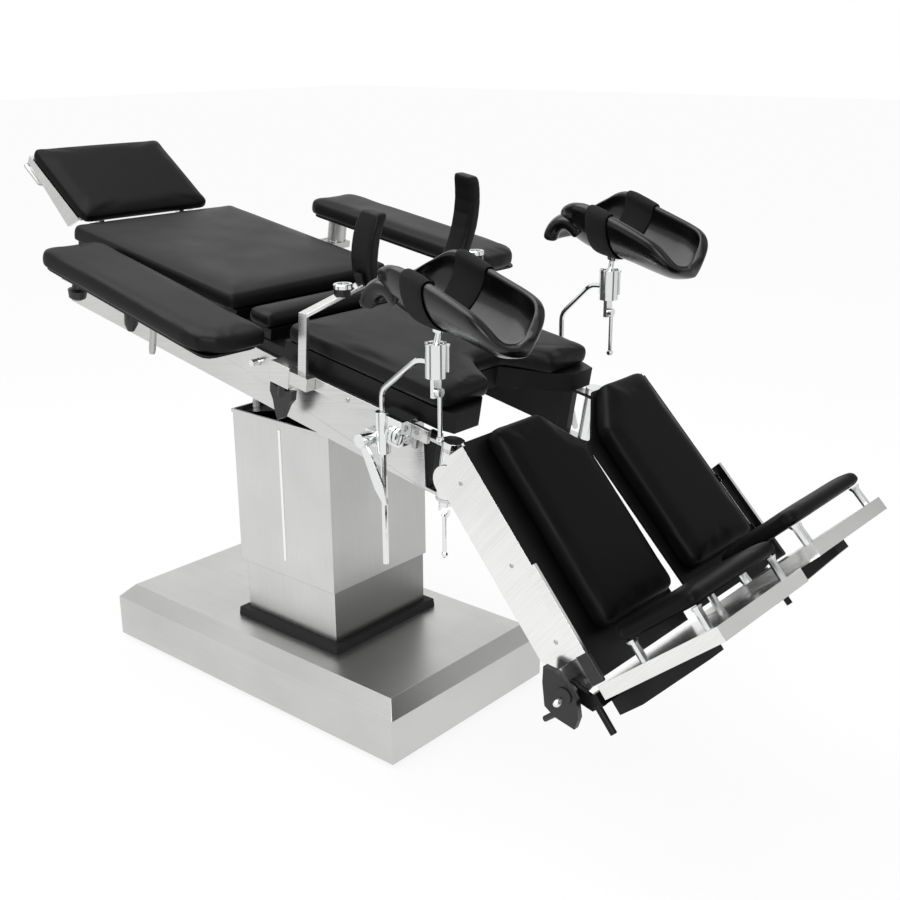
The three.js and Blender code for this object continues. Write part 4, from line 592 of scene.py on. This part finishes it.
# One mesh of screw heads for a body: each spot is a point of the section and the way the head faces.
def fasten(name, body, place, spots, radius, height, socket=0.5):
    mesh = bpy.data.meshes.new(name)
    mesh.from_pydata([place @ Vector(spot) for spot, _ in spots], [], [])
    facing = mesh.attributes.new("facing", "FLOAT_VECTOR", "POINT")
    turn = turnOf(place).to_3x3()
    for point, (_, way) in zip(facing.data, spots):
        point.vector = turn @ Vector(way)
    piece = newPiece(name, mesh)
    heads = piece.modifiers.new("heads", "NODES")
    heads.node_group = screwTree
    sockets = {item.name: item.identifier for item in screwTree.interface.items_tree
               if item.in_out == "INPUT"}
    heads[sockets["Radius"]] = radius * mm
    heads[sockets["Height"]] = height * mm
    heads[sockets["Socket share"]] = socket
    heads[sockets["Finish"]] = satinSteel
    settle(piece)
    shadeSharp(piece.data, "screws")
    return carry(piece, body, "bright_steel")


# A box between two corners of a section, with softened edges.
def block(name, place, low, high, material, edge=1.0):
    outline = [(low[0], low[2]), (high[0], low[2]), (high[0], high[2]), (low[0], high[2])]
    return slab(name, place, outline, (0, 2), low[1], high[1], material, edge)


# Every long list of pairs is a turned profile: share of the length, radius. A "head" is a screw head's
# radius and height, and how much of its width the socket takes when that is not half.
nut = {
    "ring": [(0, 17), (0.1, 20.5), (0.85, 20.5), (1, 19), (1, 12.5), (0.3, 12)], "ringHeight": 11,
    "body": [(0, 17.5), (0.1, 19.5), (1, 19.5)], "bodyHeight": 15,
    "spots": {"near": (330, -210, 1029), "far": (300, 256, 1035)},
}
armKnob = {
    "hubAt": (-272, 0), "hubTop": -90, "hubEnd": -132,
    "hub": [(0, 12), (0.3, 14), (0.42, 23), (0.86, 20), (1, 12)],
    "latchAt": (-18, 28), "latchTop": -50, "latchEnd": -112,
    "latch": [(0, 13), (0.2, 17), (0.75, 15), (1, 8)],
    "pegAt": (-10, -27), "pegTop": -50, "pegEnd": -176,
    "peg": [(0, 8), (0.93, 8), (1, 6.5)],
}
railScrews = {"face": 271.8, "level": -109, "along": [232, 420, 612], "head": (5.5, 2.2)}
clamp = {
    "face": 303.8, "screw": (589, 795), "head": (10, 4, 0.6),
    "washerFrom": (541, 301, 800), "washerTo": (571, 301, 795),
    "washers": [(0, 15), (0.2, 16), (0.24, 12), (0.4, 12), (0.42, 18.5), (0.62, 18.5), (0.64, 13), (0.72, 13),
                (0.74, 18), (0.96, 18), (1, 15)],
}
ballClamp = {
    "screws": [(-12, -10), (12, 10)], "sink": 0.2, "head": (5.5, 2.5),
    "pinAt": (17.6, 15), "pinFrom": -56, "pinTo": -2,
    "pin": [(0, 2), (0.1, 2.4), (0.9, 2.4), (0.92, 4), (1, 4)],
}
legSheet = {
    "face": 319.8, "screws": [(240, -89), (60, -96), (400, -89)], "head": (5, 1.5, 0.55),
    "capInner": 324.6, "capOuter": 334.4, "capFrom": (438, -53), "capTo": (500, -23),
}
foot = {
    "postA": 508.8, "postC": [57, 213], "postY": [39, 304], "head": (7, 2.5),
    "studFrom": -4, "studTo": 26, "stud": [(0, 9), (0.5, 9), (0.85, 7.5), (1, 4)],
}

for label, side in sides.items():
    spot = Vector(nut["spots"][label])
    collar = spot + Vector((0, 0, nut["bodyHeight"]))
    top = collar + Vector((0, 0, nut["ringHeight"]))
    hexNut = turned(f"lateral_nut_body_{label}", roomFrame, spot, collar, nut["body"], knobNylon, 8)
    carry(hexNut, bodyOf[f"lateral_bar_{label}"], "knob_black")
    cap = turned(f"lateral_nut_{label}", roomFrame, collar, top, nut["ring"], chrome)
    carry(cap, bodyOf[f"lateral_bar_{label}"], "bright_steel")
    outward = (0, side, 0)
    fasten(f"rail_screws_{label}", "table", tableFrame,
           [((s, side * railScrews["face"], railScrews["level"]), outward) for s in railScrews["along"]],
           *railScrews["head"])
    x, z = clamp["screw"]
    fasten(f"clamp_screws_{label}", "table", roomFrame,
           [((x, side * clamp["face"], z), outward)], *clamp["head"])
    ends = [(x, side * y, z) for x, y, z in (clamp["washerFrom"], clamp["washerTo"])]
    washers = turned(f"clamp_washers_{label}", roomFrame, *ends, clamp["washers"], chrome)
    carry(washers, "table", "bright_steel")
    clampLow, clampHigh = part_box(f"ball_clamp_{label}")
    middle = (clampLow + clampHigh) / 2
    top = roomFrame.inverted() @ Vector((middle.x, middle.y, clampHigh.z))
    body = bodyOf[f"ball_clamp_{label}"]
    fasten(f"ball_clamp_screws_{label}", body, roomFrame,
           [(top + Vector((x, y, -ballClamp["sink"])), (0, 0, 1)) for x, y in ballClamp["screws"]],
           *ballClamp["head"])
    ends = [top + Vector((*ballClamp["pinAt"], ballClamp[end])) for end in ("pinFrom", "pinTo")]
    pin = turned(f"ball_clamp_pin_{label}", roomFrame, *ends, ballClamp["pin"], chrome, 14)
    carry(pin, body, "bright_steel")

    leg = legFrames[label]
    body = bodyOf[f"leg_frame_{label}"]
    fasten(f"leg_screws_{label}", body, leg,
           [((x, side * legSheet["face"], z), outward) for x, z in legSheet["screws"]], *legSheet["head"])
    capLow, capHigh = band(side, legSheet["capInner"], legSheet["capOuter"])
    (x, z), (farX, farZ) = legSheet["capFrom"], legSheet["capTo"]
    cover = block(f"leg_rail_cap_{label}", leg, (x, capLow, z), (farX, capHigh, farZ), knobNylon, 3)
    carry(cover, body, "knob_black")

    fasten(f"foot_screws_{label}", bodyOf[f"foot_plate_{label}"], leg,
           [((foot["postA"], side * y, c), (1, 0, 0)) for y in foot["postY"] for c in foot["postC"]],
           *foot["head"])
    knobLow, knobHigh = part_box(f"foot_knob_{label}")
    heart = roomFrame.inverted() @ ((knobLow + knobHigh) / 2)
    ends = [heart + Vector((0, side * foot[end], 0)) for end in ("studFrom", "studTo")]
    stud = turned(f"foot_knob_stud_{label}", roomFrame, *ends, foot["stud"], chrome)
    carry(stud, bodyOf[f"foot_knob_{label}"], "bright_steel")

    board = armFrames[label]
    x, y = armKnob["hubAt"]
    hub = turned(f"arm_pivot_knob_{label}", board, (x, y, armKnob["hubTop"]), (x, y, armKnob["hubEnd"]),
                 armKnob["hub"], knobNylon)
    carry(hub, bodyOf[f"arm_bracket_{label}"], "knob_black")
    if label == "far":
        continue
    x, y = armKnob["latchAt"]
    ends = [(x, side * y, armKnob[end]) for end in ("latchTop", "latchEnd")]
    latch = turned(f"arm_latch_{label}", board, *ends, armKnob["latch"], knobNylon)
    carry(latch, bodyOf[f"arm_board_{label}"], "knob_black")
    x, y = armKnob["pegAt"]
    ends = [(x, side * y, armKnob[end]) for end in ("pegTop", "pegEnd")]
    peg = turned(f"arm_peg_{label}", board, *ends, armKnob["peg"], satinSteel)
    carry(peg, bodyOf[f"arm_board_{label}"], "bright_steel")
print("fittings added")

# A polished strip covers the seam of the upper sleeve.
columnSeam = {"from": (49.0, -163.1, 340), "to": (57.0, -161.1, 672)}
strip = block("column_seam", roomFrame, columnSeam["from"], columnSeam["to"], trimSteel, 0.8)
carry(strip, bodyOf["column_upper_cover"], "brushed_steel")
# A black block inside each plate's end stands for a bracket there; its black is also painted shade of the gap
# beside it.
plateEnd = {
    "channelInner": 222, "channelOuter": 243.8, "channelFrom": (612, -225), "channelTo": (640, -112),
    "tabInner": 249.8, "tabOuter": 266, "tabFrom": (598, -147), "tabTo": (609, -122),
}


def endBlock(kind, name, side, material, edge):
    low, high = band(side, plateEnd[f"{kind}Inner"], plateEnd[f"{kind}Outer"])
    (x, z), (farX, farZ) = plateEnd[f"{kind}From"], plateEnd[f"{kind}To"]
    return block(name, tableFrame, (x, low, z), (farX, high, farZ), material, edge)


for label, side in sides.items():
    # The black block at each plate's end: bracket and painted shade.
    carry(endBlock("channel", f"plate_end_bracket_and_shade_{label}", side, powderCoat, 1.5), "table", "black_metal")
    carry(endBlock("tab", f"rail_end_tab_{label}", side, satinSteel, 1.0), "table", "bright_steel")
print("column and plate trim added")

# Pads: moulded polyurethane over a board, swollen a little and flat underneath.

padSwell = {"voxel": 7.0, "pressure": 4.0, "frames": 20, "cap": 3.0, "shrink": 1.2, "soften": 3, "board": 0.6}


# Foam pushes the skin out; the side on the board is pinned, and no point moves further than the cap.
def swell(piece, down):
    mesh = piece.data
    rest = [vertex.co.copy() for vertex in mesh.vertices]
    pinned = piece.vertex_groups.new(name="board")
    onBoard = [vertex.index for vertex in mesh.vertices if vertex.normal.dot(down) > padSwell["board"]]
    pinned.add(onBoard, 1.0, "REPLACE")
    cloth = piece.modifiers.new("swell", "CLOTH")
    cloth.settings.vertex_group_mass = "board"
    cloth.settings.use_pressure = True
    cloth.settings.uniform_pressure_force = padSwell["pressure"]
    cloth.settings.effector_weights.gravity = 0
    cloth.point_cache.frame_end = padSwell["frames"]
    scene = bpy.context.scene
    for step in range(1, padSwell["frames"] + 1):
        scene.frame_set(step)
    settle(piece)
    scene.frame_set(1)
    cap = padSwell["cap"] * mm
    for vertex, before in zip(piece.data.vertices, rest):
        moved = vertex.co - before
        vertex.co = before + moved * (cap / (cap + moved.length))


# The remesh is made with the pad laid level, so that its flat top stays free of steps.
def makePad(node, place, down, voxel=padSwell["voxel"], skin=padSkin):
    piece = cleanCopy(node, f"{node}_moulded")
    turn = turnOf(place)
    piece.data.transform(turn.inverted())
    remesh = piece.modifiers.new("skin", "REMESH")
    remesh.mode = "VOXEL"
    remesh.voxel_size = voxel * mm
    settle(piece)
    shape = bmesh.new()
    shape.from_mesh(piece.data)
    for _ in range(padSwell["soften"]):
        bmesh.ops.smooth_vert(shape, verts=shape.verts, factor=0.5,
                              use_axis_x=True, use_axis_y=True, use_axis_z=True)
    for vertex in shape.verts:
        vertex.co -= vertex.normal * padSwell["shrink"] * mm
    shape.to_mesh(piece.data)
    shape.free()
    swell(piece, Vector(down))
    subdivide(piece, "finer", 1)
    settle(piece)
    piece.data.transform(turn)
    piece.data.materials.clear()
    piece.data.materials.append(skin)
    piece.data.shade_smooth()
    return carry(piece, bodyOf[node], "pad_cover", node)


for node in ("seat_pad", "back_pad", "bridge_pad"):
    makePad(node, tableFrame, (0, 0, -1))
# The head, leg and foot pads take the darker skin: painted shade.
makePad("head_pad", headFrame, (0, 0, -1), skin=shadedPadSkin)
for label, side in sides.items():
    makePad(f"arm_pad_{label}", armFrames[label], (0, 0, -1))
    makePad(f"leg_pad_{label}", legFrames[label], (0, 0, -1), skin=shadedPadSkin)
    makePad(f"foot_pad_{label}", legFrames[label], (1, 0, 0), skin=shadedPadSkin)
    makePad(f"lateral_pad_{label}", tableFrame, (0, side, 0), voxel=4.0)
print("pads moulded")

# Knee crutches: a thick-rimmed trough, and a wide strap round it.

trough = {
    "stations": [  # along, half width, floor, near rim, far rim
        (-134, 22, 86, 98, 96), (-129, 44, 78, 112, 104), (-119, 58, 68, 127, 114), (-106, 68, 60, 137, 126),
        (-90, 76, 54, 145, 140), (-74, 82, 50, 149, 154), (-56, 85, 47, 152, 165), (-32, 86, 46, 151, 169),
        (40, 86, 48, 142, 159), (100, 86, 46, 131, 151), (135, 85, 45, 122, 146), (162, 78, 46, 107, 142),
        (182, 64, 52, 92, 135), (196, 44, 58, 84, 122), (205, 18, 64, 84, 100)],
    "bulge": 0.25, "across": 14, "steps": 3, "wall": 10.0, "rim": 26.0,
    "scroll": [(-72, 82), (-92, 94), (-111, 98), (-128, 91), (-140, 76), (-145, 58), (-144, 42)],
    "scrollHalf": 64, "scrollBow": 16, "scrollWall": 33.0, "scrollTuck": 0.16, "scrollCount": 8,
    "strapFrom": -38, "strapNearTo": 16, "strapTo": 38, "strapProud": 6.0, "strapThin": 0.35,
    "strapRows": 6, "strapAcross": 26, "strapCrown": 2, "strapWall": 2.2,
    "stemEnds": (-12, 44),
    "stem": [(0, 5), (0.1, 10.5), (0.22, 13.2), (0.35, 11), (0.45, 6.5), (0.8, 6), (0.86, 12), (1, 13)],
}


# A point of the trough's outside: turn goes from the near rim (-90 degrees) under the floor to the far rim.
def troughPoint(station, turn):
    along, half, low, near, far = station
    rim = near if turn < 0 else far
    bulge = (1 - trough["bulge"]) * math.sin(turn) + trough["bulge"] * math.sin(turn) ** 3
    return Vector((along, half * bulge, low + (rim - low) * (1 - math.cos(turn))))


# How thick the wall is, as a share of the rim: thin across the floor, full at both rims (0 and 1).
def wallShare(spot):
    thin = trough["wall"] / trough["rim"]
    return thin + (1 - thin) * (abs(spot - 0.5) * 2) ** 6


# A smooth curve through the stations.
def smoothStations(stations, steps):
    padded = [stations[0], *stations, stations[-1]]
    made = []
    for index in range(1, len(padded) - 2):
        before, here, there, after = padded[index - 1:index + 3]
        for step in range(steps):
            t = step / steps
            made.append(tuple(0.5 * (
                2 * b + (c - a) * t + (2 * a - 5 * b + 4 * c - d) * t * t + (3 * b - a - 3 * c + d) * t ** 3)
                for a, b, c, d in zip(before, here, there, after)))
    made.append(stations[-1])
    return made


def makeTrough(label):
    place = crutchFrames[label]
    node = f"crutch_shell_{label}"
    shape = bmesh.new()
    rings = []
    across = trough["across"]
    for station in smoothStations(trough["stations"], trough["steps"]):
        rings.append([shape.verts.new(place @ troughPoint(station, (step / across - 0.5) * math.pi))
                      for step in range(across + 1)])
    for low, high in zip(rings, rings[1:]):
        for step in range(across):
            shape.faces.new((low[step], high[step], high[step + 1], low[step + 1]))
    for ring in (rings[0], rings[-1]):
        shape.faces.new(ring)
    bmesh.ops.recalc_face_normals(shape, faces=shape.faces)
    middle = rings[len(rings) // 2][across // 2]
    if middle.normal.dot(turnOf(place).to_3x3() @ Vector((0, 0, -1))) < 0:
        bmesh.ops.reverse_faces(shape, faces=shape.faces)
    piece = newPiece(f"{node}_moulded", meshFrom(shape, f"{node}_moulded"))
    width = piece.vertex_groups.new(name="wall")
    for row in range(len(rings)):
        for step in range(across + 1):
            width.add([row * (across + 1) + step], wallShare(step / across), "REPLACE")
    wall = piece.modifiers.new("wall", "SOLIDIFY")
    wall.thickness = trough["rim"] * mm
    wall.offset = -1
    wall.vertex_group = "wall"
    wall.use_even_offset = False
    subdivide(piece, "smooth", 2)
    settle(piece)
    addMesh(piece, makeScroll(place))
    piece.data.materials.clear()
    piece.data.materials.append(troughSkin)
    piece.data.shade_smooth()
    return carry(piece, bodyOf[node], "crutch_gloss", node)


# The toe end rolls over and down into a nose that is hollow underneath.
def makeScroll(place):
    shape = bmesh.new()
    columns = []
    count = trough["scrollCount"]
    middle = trough["scroll"][0][1] - trough["scrollWall"]
    for step in range(count + 1):
        share = step / count * 2 - 1
        bow = trough["scrollBow"] * share ** 4
        tuck = trough["scrollTuck"] * share ** 6
        columns.append([shape.verts.new(place @ Vector((
            along + bow, trough["scrollHalf"] * share, level + (middle - level) * tuck)))
            for along, level in trough["scroll"]])
    for low, high in zip(columns, columns[1:]):
        for step in range(len(low) - 1):
            shape.faces.new((low[step], low[step + 1], high[step + 1], high[step]))
    bmesh.ops.recalc_face_normals(shape, faces=shape.faces)
    piece = newPiece("toe", meshFrom(shape, "toe"))
    wall = piece.modifiers.new("wall", "SOLIDIFY")
    wall.thickness = trough["scrollWall"] * mm
    wall.offset = 0
    subdivide(piece, "smooth", 2)
    settle(piece)
    return piece


# A wide tape wound once round the trough, over both rims.
def makeStrap(label):
    place = crutchFrames[label]
    stations = smoothStations(trough["stations"], 12)
    across = trough["strapAcross"]
    rows = trough["strapRows"]
    loops = []
    for row in range(rows + 1):
        edge = abs(row / rows - 0.5) * 2
        proud = trough["strapProud"] * (1 - trough["strapThin"] * edge ** 4)
        outer = []
        for step in range(across + 1):
            end = trough["strapNearTo"] + (trough["strapTo"] - trough["strapNearTo"]) * step / across
            spot = trough["strapFrom"] + (end - trough["strapFrom"]) * row / rows
            station = min(stations, key=lambda one: abs(one[0] - spot))
            outer.append(troughPoint((spot, *station[1:]), (step / across - 0.5) * math.pi))
        loop = []
        for step, point in enumerate(outer):
            before = outer[max(step - 1, 0)]
            after = outer[min(step + 1, across)]
            run = (after - before).normalized()
            away = Vector((0, run.z, -run.y))
            loop.append((point, away, trough["rim"] * wallShare(step / across) + proud))
        outside = [point + away * proud for point, away, _ in loop]
        inside = [point - away * depth for point, away, depth in reversed(loop)]
        crown = Vector((0, 0, proud + trough["strapCrown"]))
        farTop = (outside[-1] + inside[0]) / 2 + crown
        nearTop = (outside[0] + inside[-1]) / 2 + crown
        loops.append([*outside, farTop, *inside, nearTop])
    shape = bmesh.new()
    tape = shape.loops.layers.uv.new("tape")
    rings = [[shape.verts.new(place @ point) for point in loop] for loop in loops]
    count = len(rings[0])
    pitch = (trough["strapTo"] - trough["strapFrom"]) / rows
    lengths = [0.0]
    for before, after in zip(loops[0], loops[0][1:] + loops[0][:1]):
        lengths.append(lengths[-1] + (after - before).length)
    for row, (low, high) in enumerate(zip(rings, rings[1:])):
        for step in range(count):
            beside = (step + 1) % count
            face = shape.faces.new((low[step], low[beside], high[beside], high[step]))
            start, end = lengths[step], lengths[step + 1]
            laid = ((start, row), (end, row), (end, row + 1), (start, row + 1))
            for corner, (length, line) in zip(face.loops, laid):
                corner[tape].uv = (length, line * pitch)
    bmesh.ops.recalc_face_normals(shape, faces=shape.faces)
    mesh = meshFrom(shape, f"strap_{label}")
    mesh.materials.append(webbing)
    piece = newPiece(f"crutch_strap_{label}", mesh)
    wall = piece.modifiers.new("wall", "SOLIDIFY")
    wall.thickness = trough["strapWall"] * mm
    wall.offset = -1
    subdivide(piece, "smooth", 1)
    settle(piece)
    piece.data.shade_smooth()
    return carry(piece, f"crutch_{label}", "crutch_gloss")


for label in sides:
    makeTrough(label)
    makeStrap(label)
    ends = [(0, 0, level) for level in trough["stemEnds"]]
    stem = turned(f"crutch_stem_{label}", crutchFrames[label], *ends, trough["stem"], chrome)
    carry(stem, f"crutch_{label}", "bright_steel")
print("crutch troughs made")

# Stage: camera as the photograph's, a pale floor, soft light.

photoView = {"place": (2126.1, -1970.3, 1531.8), "yaw": 40.59, "pitch": 18.52, "roll": -0.31, "lens": 49.12}


# The place is in millimetres of the room; pitch looks down, and roll turns the picture.
def makeCamera():
    yaw, pitch, roll = (math.radians(photoView[key]) for key in ("yaw", "pitch", "roll"))
    back = Vector((math.sin(yaw) * math.cos(pitch), -math.cos(yaw) * math.cos(pitch), math.sin(pitch)))
    right = Vector((math.cos(yaw), math.sin(yaw), 0))
    up = back.cross(right)
    rolledRight = right * math.cos(roll) + up * math.sin(roll)
    rolledUp = up * math.cos(roll) - right * math.sin(roll)
    data = bpy.data.cameras.new("photo_camera")
    data.lens = photoView["lens"]
    data.sensor_width = 36
    data.clip_end = 60
    camera = bpy.data.objects.new("photo_camera", data)
    place = Matrix((rolledRight, rolledUp, back)).transposed().to_4x4()
    place.translation = roomFrame @ Vector(photoView["place"])
    camera.matrix_world = place
    collection.objects.link(camera)
    bpy.context.scene.camera = camera


studio = {
    "darkWay": (0.40, 0.70, 0.60), "darkFrom": 0.72, "darkTo": 0.93, "roomLevel": 1.0, "darkLevel": 0.75,
    "horizon": 1.0, "lowFrom": 0.1, "lowTo": 0.45, "fill": 0.75, "floorGlow": 0.88, "floorHalf": 30,
    "flagFrom": 2.3, "flagTo": 2.9, "flagOuter": 1.4, "flagInner": 0.6,
    # azimuth and half width in degrees, light level
    "flags": [(4, 9, 0.1), (-99, 8, 0.1), (78, 7, 0.25), (-165, 7, 0.3), (40, 26, 0.86)],
}


# Black flags stand round the table, so that polished round pieces show dark streaks.
def flagLevel(tree, way):
    flat = addNode(tree, "ShaderNodeVectorMath", {0: way, 1: (1, 1, 0)}, operation="MULTIPLY")
    level = addNode(tree, "ShaderNodeVectorMath", {0: flat.outputs[0]}, operation="NORMALIZE")
    light = None
    for azimuth, half, shade in studio["flags"]:
        angle = math.radians(azimuth)
        toFlag = addNode(tree, "ShaderNodeVectorMath", {
            0: level.outputs[0], 1: (math.cos(angle), math.sin(angle), 0)}, operation="DOT_PRODUCT")
        flag = addNode(tree, "ShaderNodeMapRange", {
            "Value": toFlag.outputs["Value"],
            "From Min": math.cos(math.radians(half * studio["flagOuter"])),
            "From Max": math.cos(math.radians(half * studio["flagInner"])), "To Min": 1.0, "To Max": shade},
            interpolation_type="SMOOTHSTEP")
        light = addNode(tree, "ShaderNodeMath", {0: light.outputs[0], 1: flag.outputs[0]},
                        operation="MULTIPLY") if light else flag
    return light.outputs[0]


# Even light for the pads; polished metal sees the flags, and the lens sees plain white.
def makeWorld():
    world = bpy.data.worlds.new("studio")
    bpy.context.scene.world = world
    world.use_nodes = True
    tree = world.node_tree
    tree.nodes.clear()
    way = addNode(tree, "ShaderNodeTexCoord")
    unit = addNode(tree, "ShaderNodeVectorMath", {0: way.outputs["Generated"]}, operation="NORMALIZE")
    darkWay = Vector(studio["darkWay"]).normalized()
    toDark = addNode(tree, "ShaderNodeVectorMath", {0: unit.outputs[0], 1: darkWay}, operation="DOT_PRODUCT")
    soft = addNode(tree, "ShaderNodeMapRange", {
        "Value": toDark.outputs["Value"], "From Min": studio["darkFrom"], "From Max": studio["darkTo"],
        "To Min": studio["roomLevel"], "To Max": studio["darkLevel"]}, interpolation_type="SMOOTHSTEP")
    height = addNode(tree, "ShaderNodeSeparateXYZ", {0: unit.outputs[0]})
    low = addNode(tree, "ShaderNodeMapRange", {
        "Value": height.outputs["Z"], "From Min": studio["lowFrom"], "From Max": studio["lowTo"],
        "To Min": studio["horizon"], "To Max": 0.0}, interpolation_type="SMOOTHSTEP")
    glossy = addNode(tree, "ShaderNodeMath", {0: soft.outputs[0], 1: low.outputs[0]}, operation="MAXIMUM")
    glossy = addNode(tree, "ShaderNodeMath", {
        0: glossy.outputs[0], 1: flagLevel(tree, unit.outputs[0])}, operation="MULTIPLY")
    ray = addNode(tree, "ShaderNodeLightPath")
    seen = addNode(tree, "ShaderNodeMix", {
        "Factor": ray.outputs["Is Glossy Ray"], 2: studio["fill"], 3: glossy.outputs[0]}, data_type="FLOAT")
    white = addNode(tree, "ShaderNodeMath", {
        0: ray.outputs["Is Camera Ray"], 1: ray.outputs["Is Transmission Ray"]}, operation="MAXIMUM")
    level = addNode(tree, "ShaderNodeMix", {
        "Factor": white.outputs[0], 2: seen.outputs[0], 3: 1.0}, data_type="FLOAT")
    light = addNode(tree, "ShaderNodeBackground", {"Color": (1, 1, 1, 1), "Strength": level.outputs[0]})
    addNode(tree, "ShaderNodeOutputWorld", {"Surface": light.outputs[0]})


# Painted studio floor: flat white, with the object's own soft shadow left in. Its far part mirrors
# the flags, so that upright polished pieces show them too.
def makeFloor():
    shape = bmesh.new()
    bmesh.ops.create_grid(shape, x_segments=1, y_segments=1, size=studio["floorHalf"])
    mesh = meshFrom(shape, "studio_floor")
    floor = newPiece("studio_floor", mesh)
    material, tree, shader = newMaterial("white_floor_paint", "#fbfbfb", 0.0, 0.9, 0.1)
    ray = addNode(tree, "ShaderNodeLightPath")
    spot = addNode(tree, "ShaderNodeNewGeometry")
    away = addNode(tree, "ShaderNodeVectorMath", {
        0: spot.outputs["Position"], 1: (floorCentre.x, floorCentre.y, 0)}, operation="SUBTRACT")
    reach = addNode(tree, "ShaderNodeVectorMath", {0: away.outputs[0]}, operation="LENGTH")
    beyond = levels(tree, reach.outputs["Value"], 0.0, 1.0, studio["flagFrom"], studio["flagTo"])
    flagged = addNode(tree, "ShaderNodeMath", {
        0: ray.outputs["Is Glossy Ray"], 1: beyond.outputs[0]}, operation="MULTIPLY")
    mirrored = addNode(tree, "ShaderNodeMix", {
        "Factor": flagged.outputs[0], 2: 1.0, 3: flagLevel(tree, away.outputs[0])}, data_type="FLOAT")
    glow = addNode(tree, "ShaderNodeEmission", {"Color": (1, 1, 1, 1), "Strength": mirrored.outputs[0]})
    seen = addNode(tree, "ShaderNodeMath", {
        0: ray.outputs["Is Camera Ray"], 1: ray.outputs["Is Glossy Ray"]}, operation="MAXIMUM")
    share = addNode(tree, "ShaderNodeMath", {
        0: seen.outputs[0], 1: studio["floorGlow"]}, operation="MULTIPLY")
    mix = addNode(tree, "ShaderNodeMixShader", {
        0: share.outputs[0], 1: shader.outputs[0], 2: glow.outputs[0]})
    output = next(node for node in tree.nodes if node.type == "OUTPUT_MATERIAL")
    tree.links.new(mix.outputs[0], output.inputs["Surface"])
    mesh.materials.append(material)


lamps = {
    "overhead": {"place": (-300, -400, 3300), "aim": (100, 0, 800), "size": 2.6, "power": 66},
    "front": {"place": (2600, -2600, 2300), "aim": (200, 0, 700), "size": 2.0, "power": 44},
}


def makeLamps():
    for name, lamp in lamps.items():
        data = bpy.data.lights.new(name, "AREA")
        data.size = lamp["size"]
        data.energy = lamp["power"]
        light = bpy.data.objects.new(name, data)
        start = roomFrame @ Vector(lamp["place"])
        aim = roomFrame @ Vector(lamp["aim"])
        place = (start - aim).to_track_quat("Z", "Y").to_matrix().to_4x4()
        place.translation = start
        light.matrix_world = place
        collection.objects.link(light)


makeCamera()
makeWorld()
makeFloor()
makeLamps()
bpy.context.scene.view_settings.view_transform = "Standard"
print("stage set")
